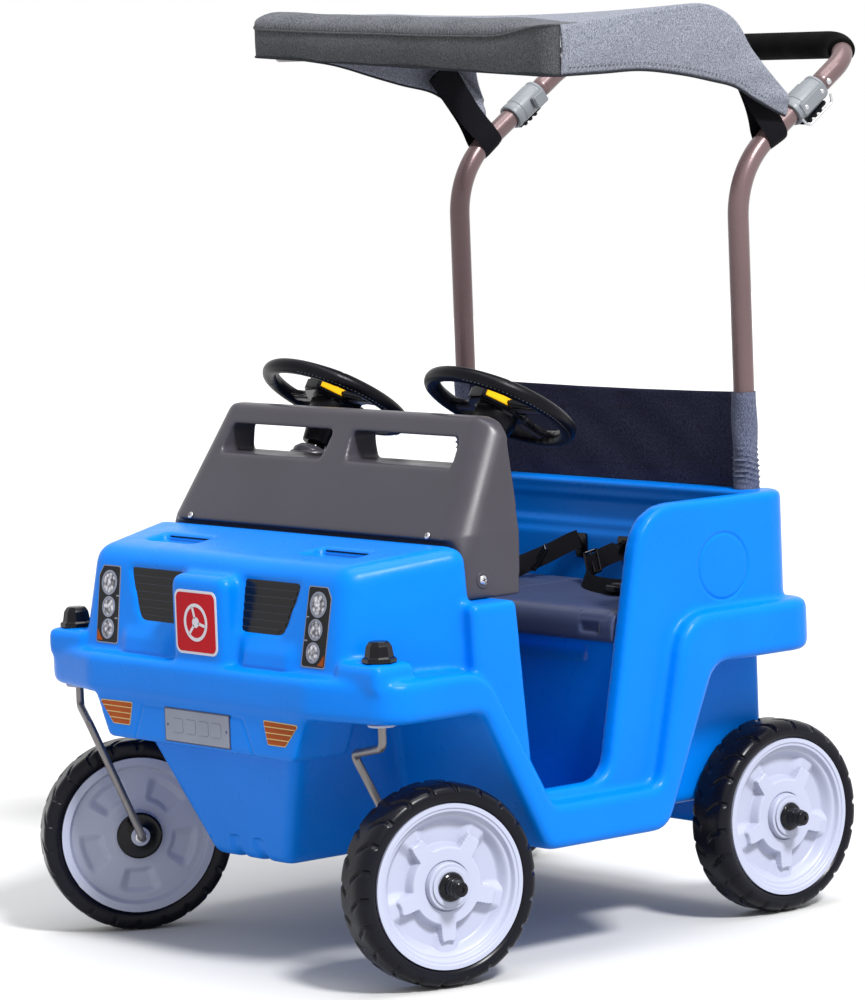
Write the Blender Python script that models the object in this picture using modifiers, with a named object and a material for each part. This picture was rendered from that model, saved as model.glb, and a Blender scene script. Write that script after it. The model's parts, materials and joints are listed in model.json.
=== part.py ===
"""Two-seat ride-in push car: moulded body, caster front wheels, canopy and a folding push handle.

Units are metres. +Z is up, the car faces -Y, and the ground is z = 0.
"""
import math

import bmesh
import bpy
from mathutils import Matrix, Vector

# ---------------------------------------------------------------- driving dimensions
GAP = 0.0003                    # clearance between pieces that touch
SIDES = (("left", -1.0), ("right", 1.0))

# body
BAND_HALF_WIDTH = 0.330         # bumper and fender band, outer face
SIDE_HALF_WIDTH = 0.310         # side walls, outer face
CABIN_HALF_WIDTH = 0.286        # side walls, inner face
REAR_FACE = 0.2505              # back wall, outer face
BACKREST_FACE = 0.205           # back wall, inner face
BAND_REAR = 0.268
RIM_HEIGHT = 0.520              # top of the rear quarters
BAND_TOP = 0.361
BAND_BOTTOM = 0.312
SILL_TOP = 0.210
SILL_BOTTOM = 0.144
FLOOR = 0.157
BELLY_BOTTOM = 0.1235
LEDGE = 0.433                   # ledge that carries the windshield
HOOD_FRONT_TOP = (-0.377, 0.482)
HOOD_FRONT_FOOT = (-0.3994, 0.330)
HOOD_REAR = (-0.2345, 0.4995)
DAM_FACE = -0.412
RISER_FACE = -0.015
SEAT_SHELF = 0.3705

# wheels
AXLE_HEIGHT = 0.125             # as laid out below, before the car is set down on its tyres
TYRE_RADIUS = 0.1155
SET_DOWN = (-0.0030, -0.0065, TYRE_RADIUS - AXLE_HEIGHT)   # centres the footprint and stands the tyres on z = 0
TYRE_HALF_WIDTH = 0.0255
RIM_RADIUS = 0.094
REAR_WHEEL_X = 0.2625
REAR_AXLE_Y = 0.250
AXLE_RADIUS = 0.005
BORE_RADIUS = 0.0055

# casters
CASTER_X = 0.286
CASTER_Y = -0.371
CASTER_TRAIL = 0.062
CASTER_OFFSET = 0.008           # the wheel sits this far outboard of its swivel
CASTER_SWIVEL = {"left": -26.8, "right": -10.5}   # degrees, as it is left standing
PAD_TOP = 0.3805
ROD_RADIUS = 0.0048
ROD_JOG = 0.069                 # the rod steps inboard by this much

# steering
WHEEL_TILT = 31.0               # degrees from level, towards the rider
STEERING_CENTRE = (0.153, -0.067, 0.637)
STEERING_RADIUS = 0.085
STEERING_RIM = 0.009

# handle
TUBE_RADIUS = 0.0125
TUBE_X = 0.255
TUBE_Y = 0.2278
TUBE_FOOT = 0.373
SOCKET_RADIUS = 0.0129
HANDLE_SLOPE = math.atan(0.68)
BEND_Z = 0.8987                 # where the upright and the slope would cross
FOLD_Y = 0.3725                 # fold pivot
CORNER_Y = 0.3930               # where the tube turns in to the cross bar
CORNER_RADIUS = 0.051
COLLAR_RADIUS = 0.017
COLLAR_SPAN = (0.066, 0.0105)   # distances below the fold pivot, along the tube
FOAM_RADIUS = 0.0168
BUTTON_FACE = 0.0200             # middle of the collar's button, from the tube's centre line

# canopy and seat
CANOPY_HALF_WIDTH = 0.279
CANOPY_SKIN = 0.0065
LID_HINGE = (0.184, 0.395)
LID_TOP = 0.400


# ---------------------------------------------------------------- small helpers
def collection(name):
    group = bpy.data.collections.new(name)
    bpy.context.scene.collection.children.link(group)
    return group


def finish_material(name, color, roughness, metallic=0.0):
    material = bpy.data.materials.new(name)
    material.use_nodes = True
    shader = material.node_tree.nodes["Principled BSDF"]
    shader.inputs["Base Color"].default_value = (*color, 1.0)
    shader.inputs["Roughness"].default_value = roughness
    shader.inputs["Metallic"].default_value = metallic
    return material


def slope_point(distance_y):
    """Point on the sloping handle tube's centre line, at a given y."""
    return Vector((0.0, distance_y, BEND_Z + (distance_y - TUBE_Y) * math.tan(HANDLE_SLOPE)))


def rounded(corners, steps=4):
    """Outline through (a, b, radius) corners, each replaced by an arc of that radius."""
    points = []
    count = len(corners)
    for index, (a, b, radius) in enumerate(corners):
        here = Vector((a, b))
        if radius <= 0.0:
            points.append(here)
            continue
        before = (Vector(corners[index - 1][:2]) - here).normalized()
        after = (Vector(corners[(index + 1) % count][:2]) - here).normalized()
        half_angle = before.angle(after) / 2.0
        reach = radius / math.tan(half_angle)
        centre = here + (before + after).normalized() * radius / math.sin(half_angle)
        start = here + before * reach - centre
        end = here + after * reach - centre
        sweep = start.angle_signed(end)
        for step in range(steps + 1):
            turn = Matrix.Rotation(-sweep * step / steps, 2)
            points.append(centre + turn @ start)
    return points


def fillet_path(corners, steps=5):
    """3-D path through (point, radius) corners, rounded at each inner corner."""
    path = []
    for index, (point, radius) in enumerate(corners):
        here = Vector(point)
        if radius <= 0.0:
            path.append(here)
            continue
        before = (Vector(corners[index - 1][0]) - here).normalized()
        after = (Vector(corners[index + 1][0]) - here).normalized()
        half_angle = before.angle(after) / 2.0
        centre = here + (before + after).normalized() * radius / math.sin(half_angle)
        start = here + before * radius / math.tan(half_angle) - centre
        end = here + after * radius / math.tan(half_angle) - centre
        for step in range(steps + 1):
            blend = step / steps
            angle = start.angle(end)
            arc = (start * math.sin((1.0 - blend) * angle) + end * math.sin(blend * angle)) / math.sin(angle)
            path.append(centre + arc)
    return path


def link(obj, group):
    group.objects.link(obj)
    if group.name == "cutters":
        obj.hide_render = True
        obj.display_type = "WIRE"
    return obj


def mesh_object(name, bm, group):
    mesh = bpy.data.meshes.new(name)
    bmesh.ops.recalc_face_normals(bm, faces=bm.faces)
    bm.to_mesh(mesh)
    bm.free()
    return link(bpy.data.objects.new(name, mesh), group)


def curve_to_mesh(curve_object, name, group):
    """Weld a curve's caps to its sides and return the closed mesh object."""
    bpy.context.scene.collection.objects.link(curve_object)
    bpy.context.view_layer.update()
    evaluated = curve_object.evaluated_get(bpy.context.evaluated_depsgraph_get())
    mesh = bpy.data.meshes.new_from_object(evaluated)
    bm = bmesh.new()
    bm.from_mesh(mesh)
    bmesh.ops.remove_doubles(bm, verts=bm.verts, dist=0.00001)
    bmesh.ops.transform(bm, matrix=curve_object.matrix_world, verts=bm.verts)
    bpy.data.objects.remove(curve_object)
    return mesh_object(name, bm, group)


PLANES = {
    "YZ": Matrix(((0, 0, 1), (1, 0, 0), (0, 1, 0))),
    "XY": Matrix.Identity(3),
    "XZ": Matrix(((1, 0, 0), (0, 0, -1), (0, 1, 0))),
}


def plate(name, outline, plane, low, high, group, frame=None):
    """Extrude a flat outline between two distances along its plane's normal."""
    curve = bpy.data.curves.new(name, "CURVE")
    curve.dimensions = "2D"
    curve.fill_mode = "BOTH"
    curve.extrude = (high - low) / 2.0
    spline = curve.splines.new("POLY")
    spline.points.add(len(outline) - 1)
    for point, (a, b) in zip(spline.points, outline):
        point.co = (a, b, 0.0, 1.0)
    spline.use_cyclic_u = True
    flat = bpy.data.objects.new(name, curve)
    basis = frame if frame else PLANES[plane].to_4x4()
    flat.matrix_world = basis @ Matrix.Translation((0.0, 0.0, (low + high) / 2.0))
    return curve_to_mesh(flat, name, group)


def block(name, bottom, top, group):
    """Six-sided block. bottom and top are (z, y_front, half_front, y_rear, half_rear)."""
    bm = bmesh.new()
    bmesh.ops.create_cube(bm, size=2.0)
    for vert in bm.verts:
        z, y_front, half_front, y_rear, half_rear = bottom if vert.co.z < 0.0 else top
        front = vert.co.y < 0.0
        half = half_front if front else half_rear
        vert.co = Vector((half * vert.co.x, y_front if front else y_rear, z))
    return mesh_object(name, bm, group)


def box(name, low, high, group):
    bm = bmesh.new()
    bmesh.ops.create_cube(bm, size=1.0)
    size = Vector(high) - Vector(low)
    middle = (Vector(high) + Vector(low)) / 2.0
    for vert in bm.verts:
        vert.co = Vector((vert.co.x * size.x, vert.co.y * size.y, vert.co.z * size.z)) + middle
    return mesh_object(name, bm, group)


def rod_between(name, start, end, radius, group, segments=16):
    """Solid cylinder from start to end."""
    axis = Vector(end) - Vector(start)
    bm = bmesh.new()
    bmesh.ops.create_cone(bm, cap_ends=True, segments=segments, radius1=radius, radius2=radius,
                          depth=axis.length)
    turn = axis.to_track_quat("Z", "Y").to_matrix().to_4x4()
    place = Matrix.Translation((Vector(end) + Vector(start)) / 2.0) @ turn
    bmesh.ops.transform(bm, matrix=place, verts=bm.verts)
    return mesh_object(name, bm, group)


def tube(name, path, radius, group, resolution=2):
    """Round bar along a path, with filled ends."""
    curve = bpy.data.curves.new(name, "CURVE")
    curve.dimensions = "3D"
    curve.bevel_depth = radius
    curve.bevel_resolution = resolution
    curve.use_fill_caps = True
    spline = curve.splines.new("POLY")
    spline.points.add(len(path) - 1)
    for point, position in zip(spline.points, path):
        point.co = (*position, 1.0)
    return curve_to_mesh(bpy.data.objects.new(name, curve), name, group)


def lathe(name, profile, matrix, group, steps=32):
    """Turn a (radius, axial) profile about local Z and place it by matrix.

    A profile that starts and ends on the axis is solid, and any other is closed into a ring.
    """
    bm = bmesh.new()
    chain = [bm.verts.new((radius, 0.0, axial)) for radius, axial in profile]
    for start, end in zip(chain, chain[1:]):
        bm.edges.new((start, end))
    if profile[0][0] > 0.0:
        bm.edges.new((chain[-1], chain[0]))
    mesh = bpy.data.meshes.new(name)
    bm.to_mesh(mesh)
    bm.free()
    obj = link(bpy.data.objects.new(name, mesh), group)
    screw = obj.modifiers.new("Turn", "SCREW")
    screw.steps = steps
    screw.render_steps = steps
    screw.use_merge_vertices = True
    screw.merge_threshold = 0.00001
    bake(obj)
    bm = bmesh.new()
    bm.from_mesh(obj.data)
    bmesh.ops.remove_doubles(bm, verts=bm.verts, dist=0.00001)
    bmesh.ops.recalc_face_normals(bm, faces=bm.faces)
    bm.to_mesh(obj.data)
    bm.free()
    obj.matrix_world = matrix
    return obj


def bevel(obj, width, segments=2, angle=40.0):
    modifier = obj.modifiers.new("Rounded edges", "BEVEL")
    modifier.width = width
    modifier.segments = segments
    modifier.limit_method = "ANGLE"
    modifier.angle_limit = math.radians(angle)
    return obj


def combine(obj, other, operation):
    modifier = obj.modifiers.new(other.name, "BOOLEAN")
    modifier.operation = operation
    modifier.object = other
    return obj


def bake(obj):
    """Replace an object's mesh by its evaluated mesh, and clear its modifiers."""
    bpy.context.view_layer.update()
    evaluated = obj.evaluated_get(bpy.context.evaluated_depsgraph_get())
    mesh = bpy.data.meshes.new_from_object(evaluated)
    obj.modifiers.clear()
    obj.data = mesh
    return obj


def paint(obj, material, smooth=True):
    obj.data.materials.clear()
    obj.data.materials.append(material)
    if smooth and not obj.modifiers:
        obj.data.shade_smooth()
        obj.data.set_sharp_from_angle(angle=math.radians(35.0))
    return obj


def rehome(obj, matrix):
    """Give a mesh made in world coordinates an origin of its own, without moving it."""
    obj.data.transform(matrix.inverted())
    obj.matrix_world = matrix
    return obj


# ---------------------------------------------------------------- body shell
def band_outline():
    """Side view of the bumper, fender arches and sill, one continuous strip."""
    return rounded([
        (-0.440, BAND_TOP, 0.0), (-0.248, BAND_TOP, 0.050), (-0.155, 0.197, 0.016),
        (0.008, 0.197, 0.020), (0.053, 0.391, 0.050), (BAND_REAR + 0.02, 0.391, 0.0),
        (BAND_REAR + 0.02, 0.329, 0.0), (0.101, 0.329, 0.030), (0.0196, SILL_BOTTOM, 0.030),
        (-0.168, SILL_BOTTOM, 0.020), (-0.256, BAND_BOTTOM, 0.020), (-0.440, BAND_BOTTOM, 0.0),
    ])


def band_plan():
    """Top view of the band, with swept front corners."""
    half = [(-BAND_HALF_WIDTH, BAND_REAR, 0.036), (-BAND_HALF_WIDTH, -0.388, 0.040), (-0.205, -0.416, 0.08)]
    other = [(-x, y, radius) for x, y, radius in reversed(half)]
    return rounded(half + other)


def cab_outline():
    """Side view of the cab walls, with the door opening between pillar and rear quarter."""
    low = SILL_BOTTOM + 0.004
    return rounded([
        (-0.252, BAND_BOTTOM + 0.008, 0.0), (-0.164, low, 0.020), (0.0160, low, 0.030),
        (0.096, 0.336, 0.020), (REAR_FACE + 0.02, 0.336, 0.0), (REAR_FACE + 0.02, RIM_HEIGHT, 0.0),
        (0.0078, RIM_HEIGHT, 0.060), (-0.0568, SILL_TOP, 0.030), (-0.1673, SILL_TOP, 0.025),
        (-0.185, LEDGE, 0.006), (-0.252, LEDGE, 0.0),
    ])


def cab_plan():
    half = [(-SIDE_HALF_WIDTH, REAR_FACE, 0.036), (-SIDE_HALF_WIDTH, -0.30, 0.0)]
    other = [(-x, y, radius) for x, y, radius in reversed(half)]
    return rounded(half + other)


def make_body(parts, cutters):
    body = plate("body_shell", cab_outline(), "YZ", -0.32, 0.32, parts)
    combine(body, plate("cab_plan", cab_plan(), "XY", 0.10, 0.60, cutters), "INTERSECT")
    bevel(body, 0.007, 2)
    bake(body)

    band = plate("band", band_outline(), "YZ", -0.36, 0.36, cutters)
    combine(band, plate("band_plan", band_plan(), "XY", 0.10, 0.50, cutters), "INTERSECT")
    bevel(band, 0.009, 2)
    bake(band)

    hood = block("hood", (HOOD_FRONT_FOOT[1], HOOD_FRONT_FOOT[0], 0.250, HOOD_REAR[0], 0.302),
                 (HOOD_FRONT_TOP[1], HOOD_FRONT_TOP[0], 0.236, HOOD_REAR[0], 0.288), cutters)
    for vert in hood.data.vertices:
        if vert.co.z > 0.4 and vert.co.y > -0.3:
            vert.co.z = HOOD_REAR[1]
    bevel(hood, 0.018, 3)
    bake(hood)

    belly = block("belly", (BELLY_BOTTOM, -0.341, 0.071, -0.100, 0.071),
                  (0.340, -0.402, 0.182, -0.100, 0.182), cutters)
    bevel(belly, 0.010, 2)
    bake(belly)
    dam = block("air_dam", (0.262, DAM_FACE, 0.174, -0.330, 0.174),
                (BAND_BOTTOM + 0.012, DAM_FACE, 0.204, -0.330, 0.204), cutters)
    nose = box("nose", (-0.052, -0.4075, 0.345), (0.052, -0.360, 0.463), cutters)
    bevel(nose, 0.012, 3)
    bake(nose)
    tail = box("tail", (-0.232, 0.0, 0.150), (0.232, 0.264, 0.345), cutters)
    bevel(tail, 0.010, 2)
    bake(tail)
    hump = box("axle_hump", (-0.224, 0.226, 0.106), (0.224, 0.262, 0.170), cutters)
    for piece in (band, hood, belly, dam, nose, tail, hump):
        combine(body, piece, "UNION")
    for side, sign in SIDES:
        pad = box("caster_pad_" + side, (0.235, -0.398, 0.345), (0.313, -0.338, PAD_TOP), cutters)
        if sign < 0.0:
            pad.data.transform(Matrix.Scale(-1.0, 4, (1.0, 0.0, 0.0)))
            pad.data.flip_normals()
        bevel(pad, 0.009, 2)
        bake(pad)
        combine(body, pad, "UNION")
    bake(body)
    cut_body(body, cutters)
    return bake(body)


def fascia_frame(z, stand_off=0.0):
    """Frame on the sloping front face at a height: local X across, Y up the slope, Z outwards."""
    run = HOOD_FRONT_TOP[0] - HOOD_FRONT_FOOT[0]
    rise = HOOD_FRONT_TOP[1] - HOOD_FRONT_FOOT[1]
    up = Vector((0.0, run, rise)).normalized()
    out = Vector((1.0, 0.0, 0.0)).cross(up)
    y = HOOD_FRONT_FOOT[0] + (z - HOOD_FRONT_FOOT[1]) * run / rise
    turn = Matrix((Vector((1.0, 0.0, 0.0)), up, out)).transposed().to_4x4()
    return Matrix.Translation(Vector((0.0, y, z)) + out * stand_off) @ turn


GRILLE_MIDDLE = 0.431


def grille_outline(sign, shrink=0.0):
    """Half of the radiator opening: wide at the top, its lower outer corner cut away."""
    inner = 0.056 + shrink
    corners = [(inner, 0.031 - shrink, 0.0), (0.163 - 1.3 * shrink, 0.031 - shrink, 0.0),
               (0.135 - shrink, -0.032 + shrink, 0.012), (inner, -0.032 + shrink, 0.0)]
    return [(sign * point.x, point.y) for point in rounded(corners)]


def cut_body(body, cutters):
    """Cabin, leg room, seat store, wheel clearance and every hole."""
    footwell = box("footwell", (-CABIN_HALF_WIDTH, -0.165, FLOOR), (CABIN_HALF_WIDTH, RISER_FACE, 0.70),
                   cutters)
    seat_space = box("seat_space", (-CABIN_HALF_WIDTH, -0.05, SEAT_SHELF),
                     (CABIN_HALF_WIDTH, BACKREST_FACE, 0.70), cutters)
    store = box("seat_store", (-0.215, 0.001, 0.166), (0.215, 0.188, 0.40), cutters)
    leg_low = block("leg_room_low", (0.140, -0.322, 0.056, -0.140, 0.056),
                    (0.320, -0.378, 0.156, -0.140, 0.156), cutters)
    leg_high = block("leg_room_high", (0.314, -0.374, 0.156, -0.140, 0.270),
                     (0.425, -0.358, 0.205, -0.140, 0.262), cutters)
    recess = box("riser_recess", (-0.228, RISER_FACE - 0.02, 0.338), (0.228, RISER_FACE + 0.006, 0.354),
                 cutters)
    for cutter in (footwell, seat_space, store, leg_low, leg_high, recess):
        combine(body, cutter, "DIFFERENCE")
    axle_hole = rod_between("axle_hole", (-0.25, REAR_AXLE_Y, AXLE_HEIGHT), (0.25, REAR_AXLE_Y, AXLE_HEIGHT),
                            BORE_RADIUS, cutters, 16)
    combine(body, axle_hole, "DIFFERENCE")
    for side, sign in SIDES:
        foot = Vector((sign * CASTER_X, CASTER_Y, 0.29))
        stem = rod_between("stem_hole_" + side, foot, foot + Vector((0, 0, 0.12)), 0.0095, cutters, 20)
        socket_foot = Vector((sign * TUBE_X, TUBE_Y, TUBE_FOOT - GAP))
        socket = rod_between("socket_" + side, socket_foot, socket_foot + Vector((0, 0, 0.20)),
                             SOCKET_RADIUS, cutters)
        pocket = plate("grille_pocket_" + side, grille_outline(sign), None, -0.006, 0.02, cutters,
                       fascia_frame(GRILLE_MIDDLE))
        scoop = block("scoop_" + side, (0.4800, -0.330, 0.046, -0.298, 0.046),
                      (0.53, -0.350, 0.046, -0.298, 0.046), cutters)
        scoop.data.transform(Matrix.Translation((sign * 0.148, 0.0, 0.0)))
        for cutter in (stem, socket, pocket, scoop):
            combine(body, cutter, "DIFFERENCE")


# ---------------------------------------------------------------- windshield and dash
def steering_axis():
    tilt = math.radians(WHEEL_TILT)
    return Vector((0.0, math.sin(tilt), math.cos(tilt)))


def steering_frame(sign):
    """Frame at a steering wheel's centre, with local Z along its shaft, towards the rider."""
    x, y, z = STEERING_CENTRE
    turn = steering_axis().to_track_quat("Z", "Y").to_matrix().to_4x4()
    return Matrix.Translation((sign * x, y, z)) @ turn


def dash_shoulders(cutters):
    """Prism that rounds the dash where its sloping front turns into its sides."""
    climb = Vector((0.0, 0.0765, 0.1357)).normalized()
    inward = Vector((0.0, climb.z, -climb.y))
    across = Vector((1.0, 0.0, 0.0))
    foot = Vector((0.0, -0.2445, 0.5003)) - climb * 0.150 + inward * 0.0004
    section = rounded([(-0.2742, 0.0, 0.034), (0.2742, 0.0, 0.034), (0.2742, 0.300, 0.0), (-0.2742, 0.300, 0.0)], 6)
    bm = bmesh.new()
    rings = []
    for reach in (0.0, 0.400):
        rings.append([bm.verts.new(foot + across * point.x + inward * point.y + climb * reach) for point in section])
    count = len(section)
    for index in range(count):
        following = (index + 1) % count
        bm.faces.new((rings[0][index], rings[0][following], rings[1][following], rings[1][index]))
    bm.faces.new(list(reversed(rings[0])))
    bm.faces.new(rings[1])
    bmesh.ops.recalc_face_normals(bm, faces=bm.faces)
    return mesh_object("dash_shoulders", bm, cutters)


def dash_corners(cutters):
    """Prism that rounds the dash's two top corners, seen from the front."""
    outline = rounded([(-0.2745, 0.380, 0.0), (0.2745, 0.380, 0.0), (0.2745, 0.6357, 0.030), (-0.2745, 0.6357, 0.030)], 6)
    return plate("dash_corners", [tuple(point) for point in outline], "XZ", -0.10, 0.40, cutters)


def make_windshield(parts, cutters):
    outline = rounded([
        (-0.2445, 0.5003, 0.0), (-0.1680, 0.6360, 0.014), (-0.1420, 0.6360, 0.010),
        (-0.1490, LEDGE + GAP, 0.0), (-0.2341, LEDGE + GAP, 0.0), (-0.2341, 0.5003, 0.0),
    ])
    shield = plate("windshield_dash", outline, "YZ", -0.274, 0.274, parts)
    combine(shield, dash_shoulders(cutters), "INTERSECT")
    combine(shield, dash_corners(cutters), "INTERSECT")
    bake(shield)
    deck = block("dash_deck", (0.505, -0.160, 0.195, -0.115, 0.195), (0.563, -0.160, 0.195, -0.098, 0.195),
                 cutters)
    combine(shield, deck, "UNION")
    axis = steering_axis()
    for side, sign in SIDES:
        centre = steering_frame(sign).translation
        boss = rod_between("boss_" + side, centre - axis * 0.150, centre - axis * 0.072, 0.027, cutters)
        combine(shield, boss, "UNION")
    for side, sign in SIDES:
        centre = steering_frame(sign).translation
        bore = rod_between("column_bore_" + side, centre - axis * 0.140, centre - axis * 0.05, 0.0118, cutters)
        combine(shield, bore, "DIFFERENCE")
        slot = plate("slot_" + side, slot_outline(sign), "XZ", 0.10, 0.26, cutters)
        combine(shield, slot, "DIFFERENCE")
        screw = rod_between("screw_hole_" + side, (sign * 0.262, -0.205, 0.455), (sign * 0.30, -0.205, 0.455),
                            0.003, cutters, 12)
        combine(shield, screw, "DIFFERENCE")
    return bake(shield)


def slot_outline(sign):
    corners = [(0.023, 0.579, 0.006), (0.223, 0.579, 0.006), (0.223, 0.612, 0.010), (0.017, 0.612, 0.006)]
    return [(sign * point.x, point.y) for point in rounded(corners)]


def make_steering(sign, side, parts, cutters, black):
    frame = steering_frame(sign)
    bpy.ops.mesh.primitive_torus_add(major_radius=STEERING_RADIUS, minor_radius=STEERING_RIM,
                                     major_segments=24, minor_segments=8)
    wheel = bpy.context.object
    wheel.name = "steering_wheel_" + side
    for group in list(wheel.users_collection):
        group.objects.unlink(wheel)
    parts.objects.link(wheel)
    hub = lathe("steering_hub_" + side, [(0.0, 0.012), (0.024, 0.012), (0.031, 0.004), (0.031, -0.008),
                                         (0.018, -0.022), (0.0, -0.022)], Matrix.Identity(4), cutters, 12)
    for turn in (0.0, 90.0, 180.0):
        angle = math.radians(turn)
        spoke = rod_between("spoke_%s_%d" % (side, turn), Vector((0.0, 0.0, 0.0)),
                            Vector((math.cos(angle), -math.sin(angle), 0.0)) * STEERING_RADIUS, 0.010, cutters, 4)
        spoke.data.transform(Matrix.Scale(0.45, 4, (0.0, 0.0, 1.0)))
        combine(wheel, spoke, "UNION")
    combine(wheel, hub, "UNION")
    bake(wheel)
    wheel.matrix_world = frame
    paint(wheel, black)
    axis = steering_axis()
    centre = frame.translation
    column = rod_between("steering_column_" + side, centre - axis * 0.138, centre - axis * (0.022 + GAP), 0.0113,
                         parts)
    paint(rehome(column, frame), black)


# ---------------------------------------------------------------- seat
def make_seat_lid(parts, cutters, gray):
    outline = rounded([
        (-0.0225, 0.3705 - 0.008, 0.004), (-0.0225, LID_TOP, 0.020), (0.190, LID_TOP, 0.003),
        (0.190, SEAT_SHELF + GAP * 2, 0.0030), (-0.0153, SEAT_SHELF + GAP * 2, 0.0), (-0.0153, 0.3625, 0.0),
    ])
    lid = plate("seat_lid", outline, "YZ", -0.2845, 0.2845, parts)
    bevel(lid, 0.003, 2, 60.0)
    bake(lid)
    notch = box("lid_notch", (0.228, -0.03, 0.372), (0.262, -0.0185, 0.386), cutters)
    combine(lid, notch, "DIFFERENCE")
    bake(lid)
    paint(rehome(lid, Matrix.Translation((0.0, *LID_HINGE))), gray)


def ribbon(name, path, width_axis, width, thickness, group):
    """Closed flat strap: path points, swept across width_axis and thickened upwards."""
    bm = bmesh.new()
    half = Vector(width_axis).normalized() * width / 2.0
    rows = [(bm.verts.new(Vector(point) - half), bm.verts.new(Vector(point) + half)) for point in path]
    for (a, b), (c, d) in zip(rows, rows[1:]):
        bm.faces.new((a, b, d, c))
    mesh = bpy.data.meshes.new(name)
    bm.to_mesh(mesh)
    bm.free()
    obj = link(bpy.data.objects.new(name, mesh), group)
    solid = obj.modifiers.new("Thickness", "SOLIDIFY")
    solid.thickness = thickness
    solid.offset = 0.0
    return bake(obj)


def make_belts(parts, black):
    """One lap belt per seat: from the middle of the backrest, over the seat, to its outer end."""
    for side, sign in SIDES:
        path = [(0.050, 0.1985, 0.436), (0.085, 0.185, 0.430), (0.120, 0.160, 0.420), (0.150, 0.150, 0.414),
                (0.200, 0.155, 0.414), (0.245, 0.180, 0.416), (0.268, 0.1985, 0.420)]
        path = [(sign * x, y, z) for x, y, z in path]
        belt = ribbon("seat_belt_" + side, path, (0.0, 0.35, 0.94), 0.024, 0.0016, parts)
        paint(belt, black, False)
        buckle = box("belt_buckle_" + side, (sign * 0.150 - 0.018, 0.100, 0.4012),
                     (sign * 0.150 + 0.018, 0.128, 0.4092), parts)
        paint(bake(bevel(buckle, 0.002, 2)), black)


# ---------------------------------------------------------------- trim on the front
def make_trim(parts, dark, lamp, orange, silver, red):
    for side, sign in SIDES:
        grille = plate("grille_" + side, grille_outline(sign, 0.0005), None, -0.0057, -0.0010, parts,
                       fascia_frame(GRILLE_MIDDLE))
        paint(grille, dark, False)
        lamp_outline = [(sign * x, y) for x, y in ((0.1800, 0.0), (0.2145, 0.0), (0.2180, 0.080),
                                                    (0.2110, 0.092), (0.1835, 0.092))]
        headlight = plate("headlight_" + side, lamp_outline, None, GAP, 0.0013, parts, fascia_frame(0.3695))
        paint(headlight, lamp, False)
        fog_outline = [(sign * x, z) for x, z in ((0.131, 0.279), (0.163, 0.279), (0.1885, 0.306), (0.124, 0.307))]
        fog = plate("fog_light_" + side, fog_outline, "XZ", -DAM_FACE + GAP, -DAM_FACE + 0.0013, parts)
        paint(fog, orange, False)
    plate_body = box("number_plate", (-0.062, DAM_FACE - 0.0013, 0.267), (0.062, DAM_FACE - GAP, 0.307), parts)
    paint(plate_body, silver, False)
    badge_outline = [tuple(point) for point in rounded([(-0.039, 0.372, 0.010), (0.039, 0.372, 0.010),
                                                        (0.039, 0.446, 0.010), (-0.039, 0.446, 0.010)])]
    badge = plate("front_badge", badge_outline, "XZ", 0.4075 + GAP, 0.4088, parts)
    paint(badge, red, False)


# ---------------------------------------------------------------- wheels
TYRE_PROFILE = [(0.0943, 0.0215), (0.0990, 0.0255), (0.1060, 0.0255), (0.1105, 0.0225), (0.1140, 0.0140),
                (TYRE_RADIUS, 0.0030), (TYRE_RADIUS, -0.0195), (0.1135, -0.0245), (0.1090, -0.0255),
                (0.1000, -0.0255), (0.0943, -0.0215)]
HUB_PROFILE = [(BORE_RADIUS, 0.0245), (0.0260, 0.0245), (0.0300, 0.0165), (0.0790, 0.0165), (0.0850, 0.0235),
               (0.0938, 0.0235), (0.0938, -0.0235), (0.0850, -0.0235), (0.0800, -0.0150), (0.0290, -0.0150),
               (0.0270, -0.0255), (BORE_RADIUS, -0.0255)]
CAP_PROFILE = [(0.0, 0.0500), (0.0075, 0.0500), (0.0095, 0.0480), (0.0110, 0.0360), (0.0160, 0.0330),
               (0.0160, 0.0252), (0.0053, 0.0252), (0.0053, 0.0440), (0.0, 0.0440)]


def wheel_frame(centre, outward):
    turn = Vector(outward).to_track_quat("Z", "Y").to_matrix().to_4x4()
    return Matrix.Translation(centre) @ turn


def make_wheel(name, frame, parts, black, white):
    paint(lathe(name + "_tyre", TYRE_PROFILE, frame, parts, 32), black)
    paint(lathe(name + "_hub", HUB_PROFILE, frame, parts, 24), white)
    paint(lathe(name + "_cap", CAP_PROFILE, frame, parts, 12), black)


def make_rear_wheels(parts, black, white, steel):
    for side, sign in SIDES:
        frame = wheel_frame((sign * REAR_WHEEL_X, REAR_AXLE_Y, AXLE_HEIGHT), (sign, 0.0, 0.0))
        make_wheel("rear_" + side, frame, parts, black, white)
    reach = REAR_WHEEL_X + 0.0430
    axle = rod_between("rear_axle", (-reach, REAR_AXLE_Y, AXLE_HEIGHT), (reach, REAR_AXLE_Y, AXLE_HEIGHT),
                       AXLE_RADIUS, parts, 16)
    paint(axle, steel)


def caster_axes(sign, side):
    """Unit vectors of a caster as it stands: its trail direction and its outboard direction."""
    angle = math.radians(CASTER_SWIVEL[side])
    trail = Vector((-math.sin(angle), math.cos(angle), 0.0))
    outboard = Vector((math.cos(angle), math.sin(angle), 0.0)) * sign
    return trail, outboard


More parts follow.
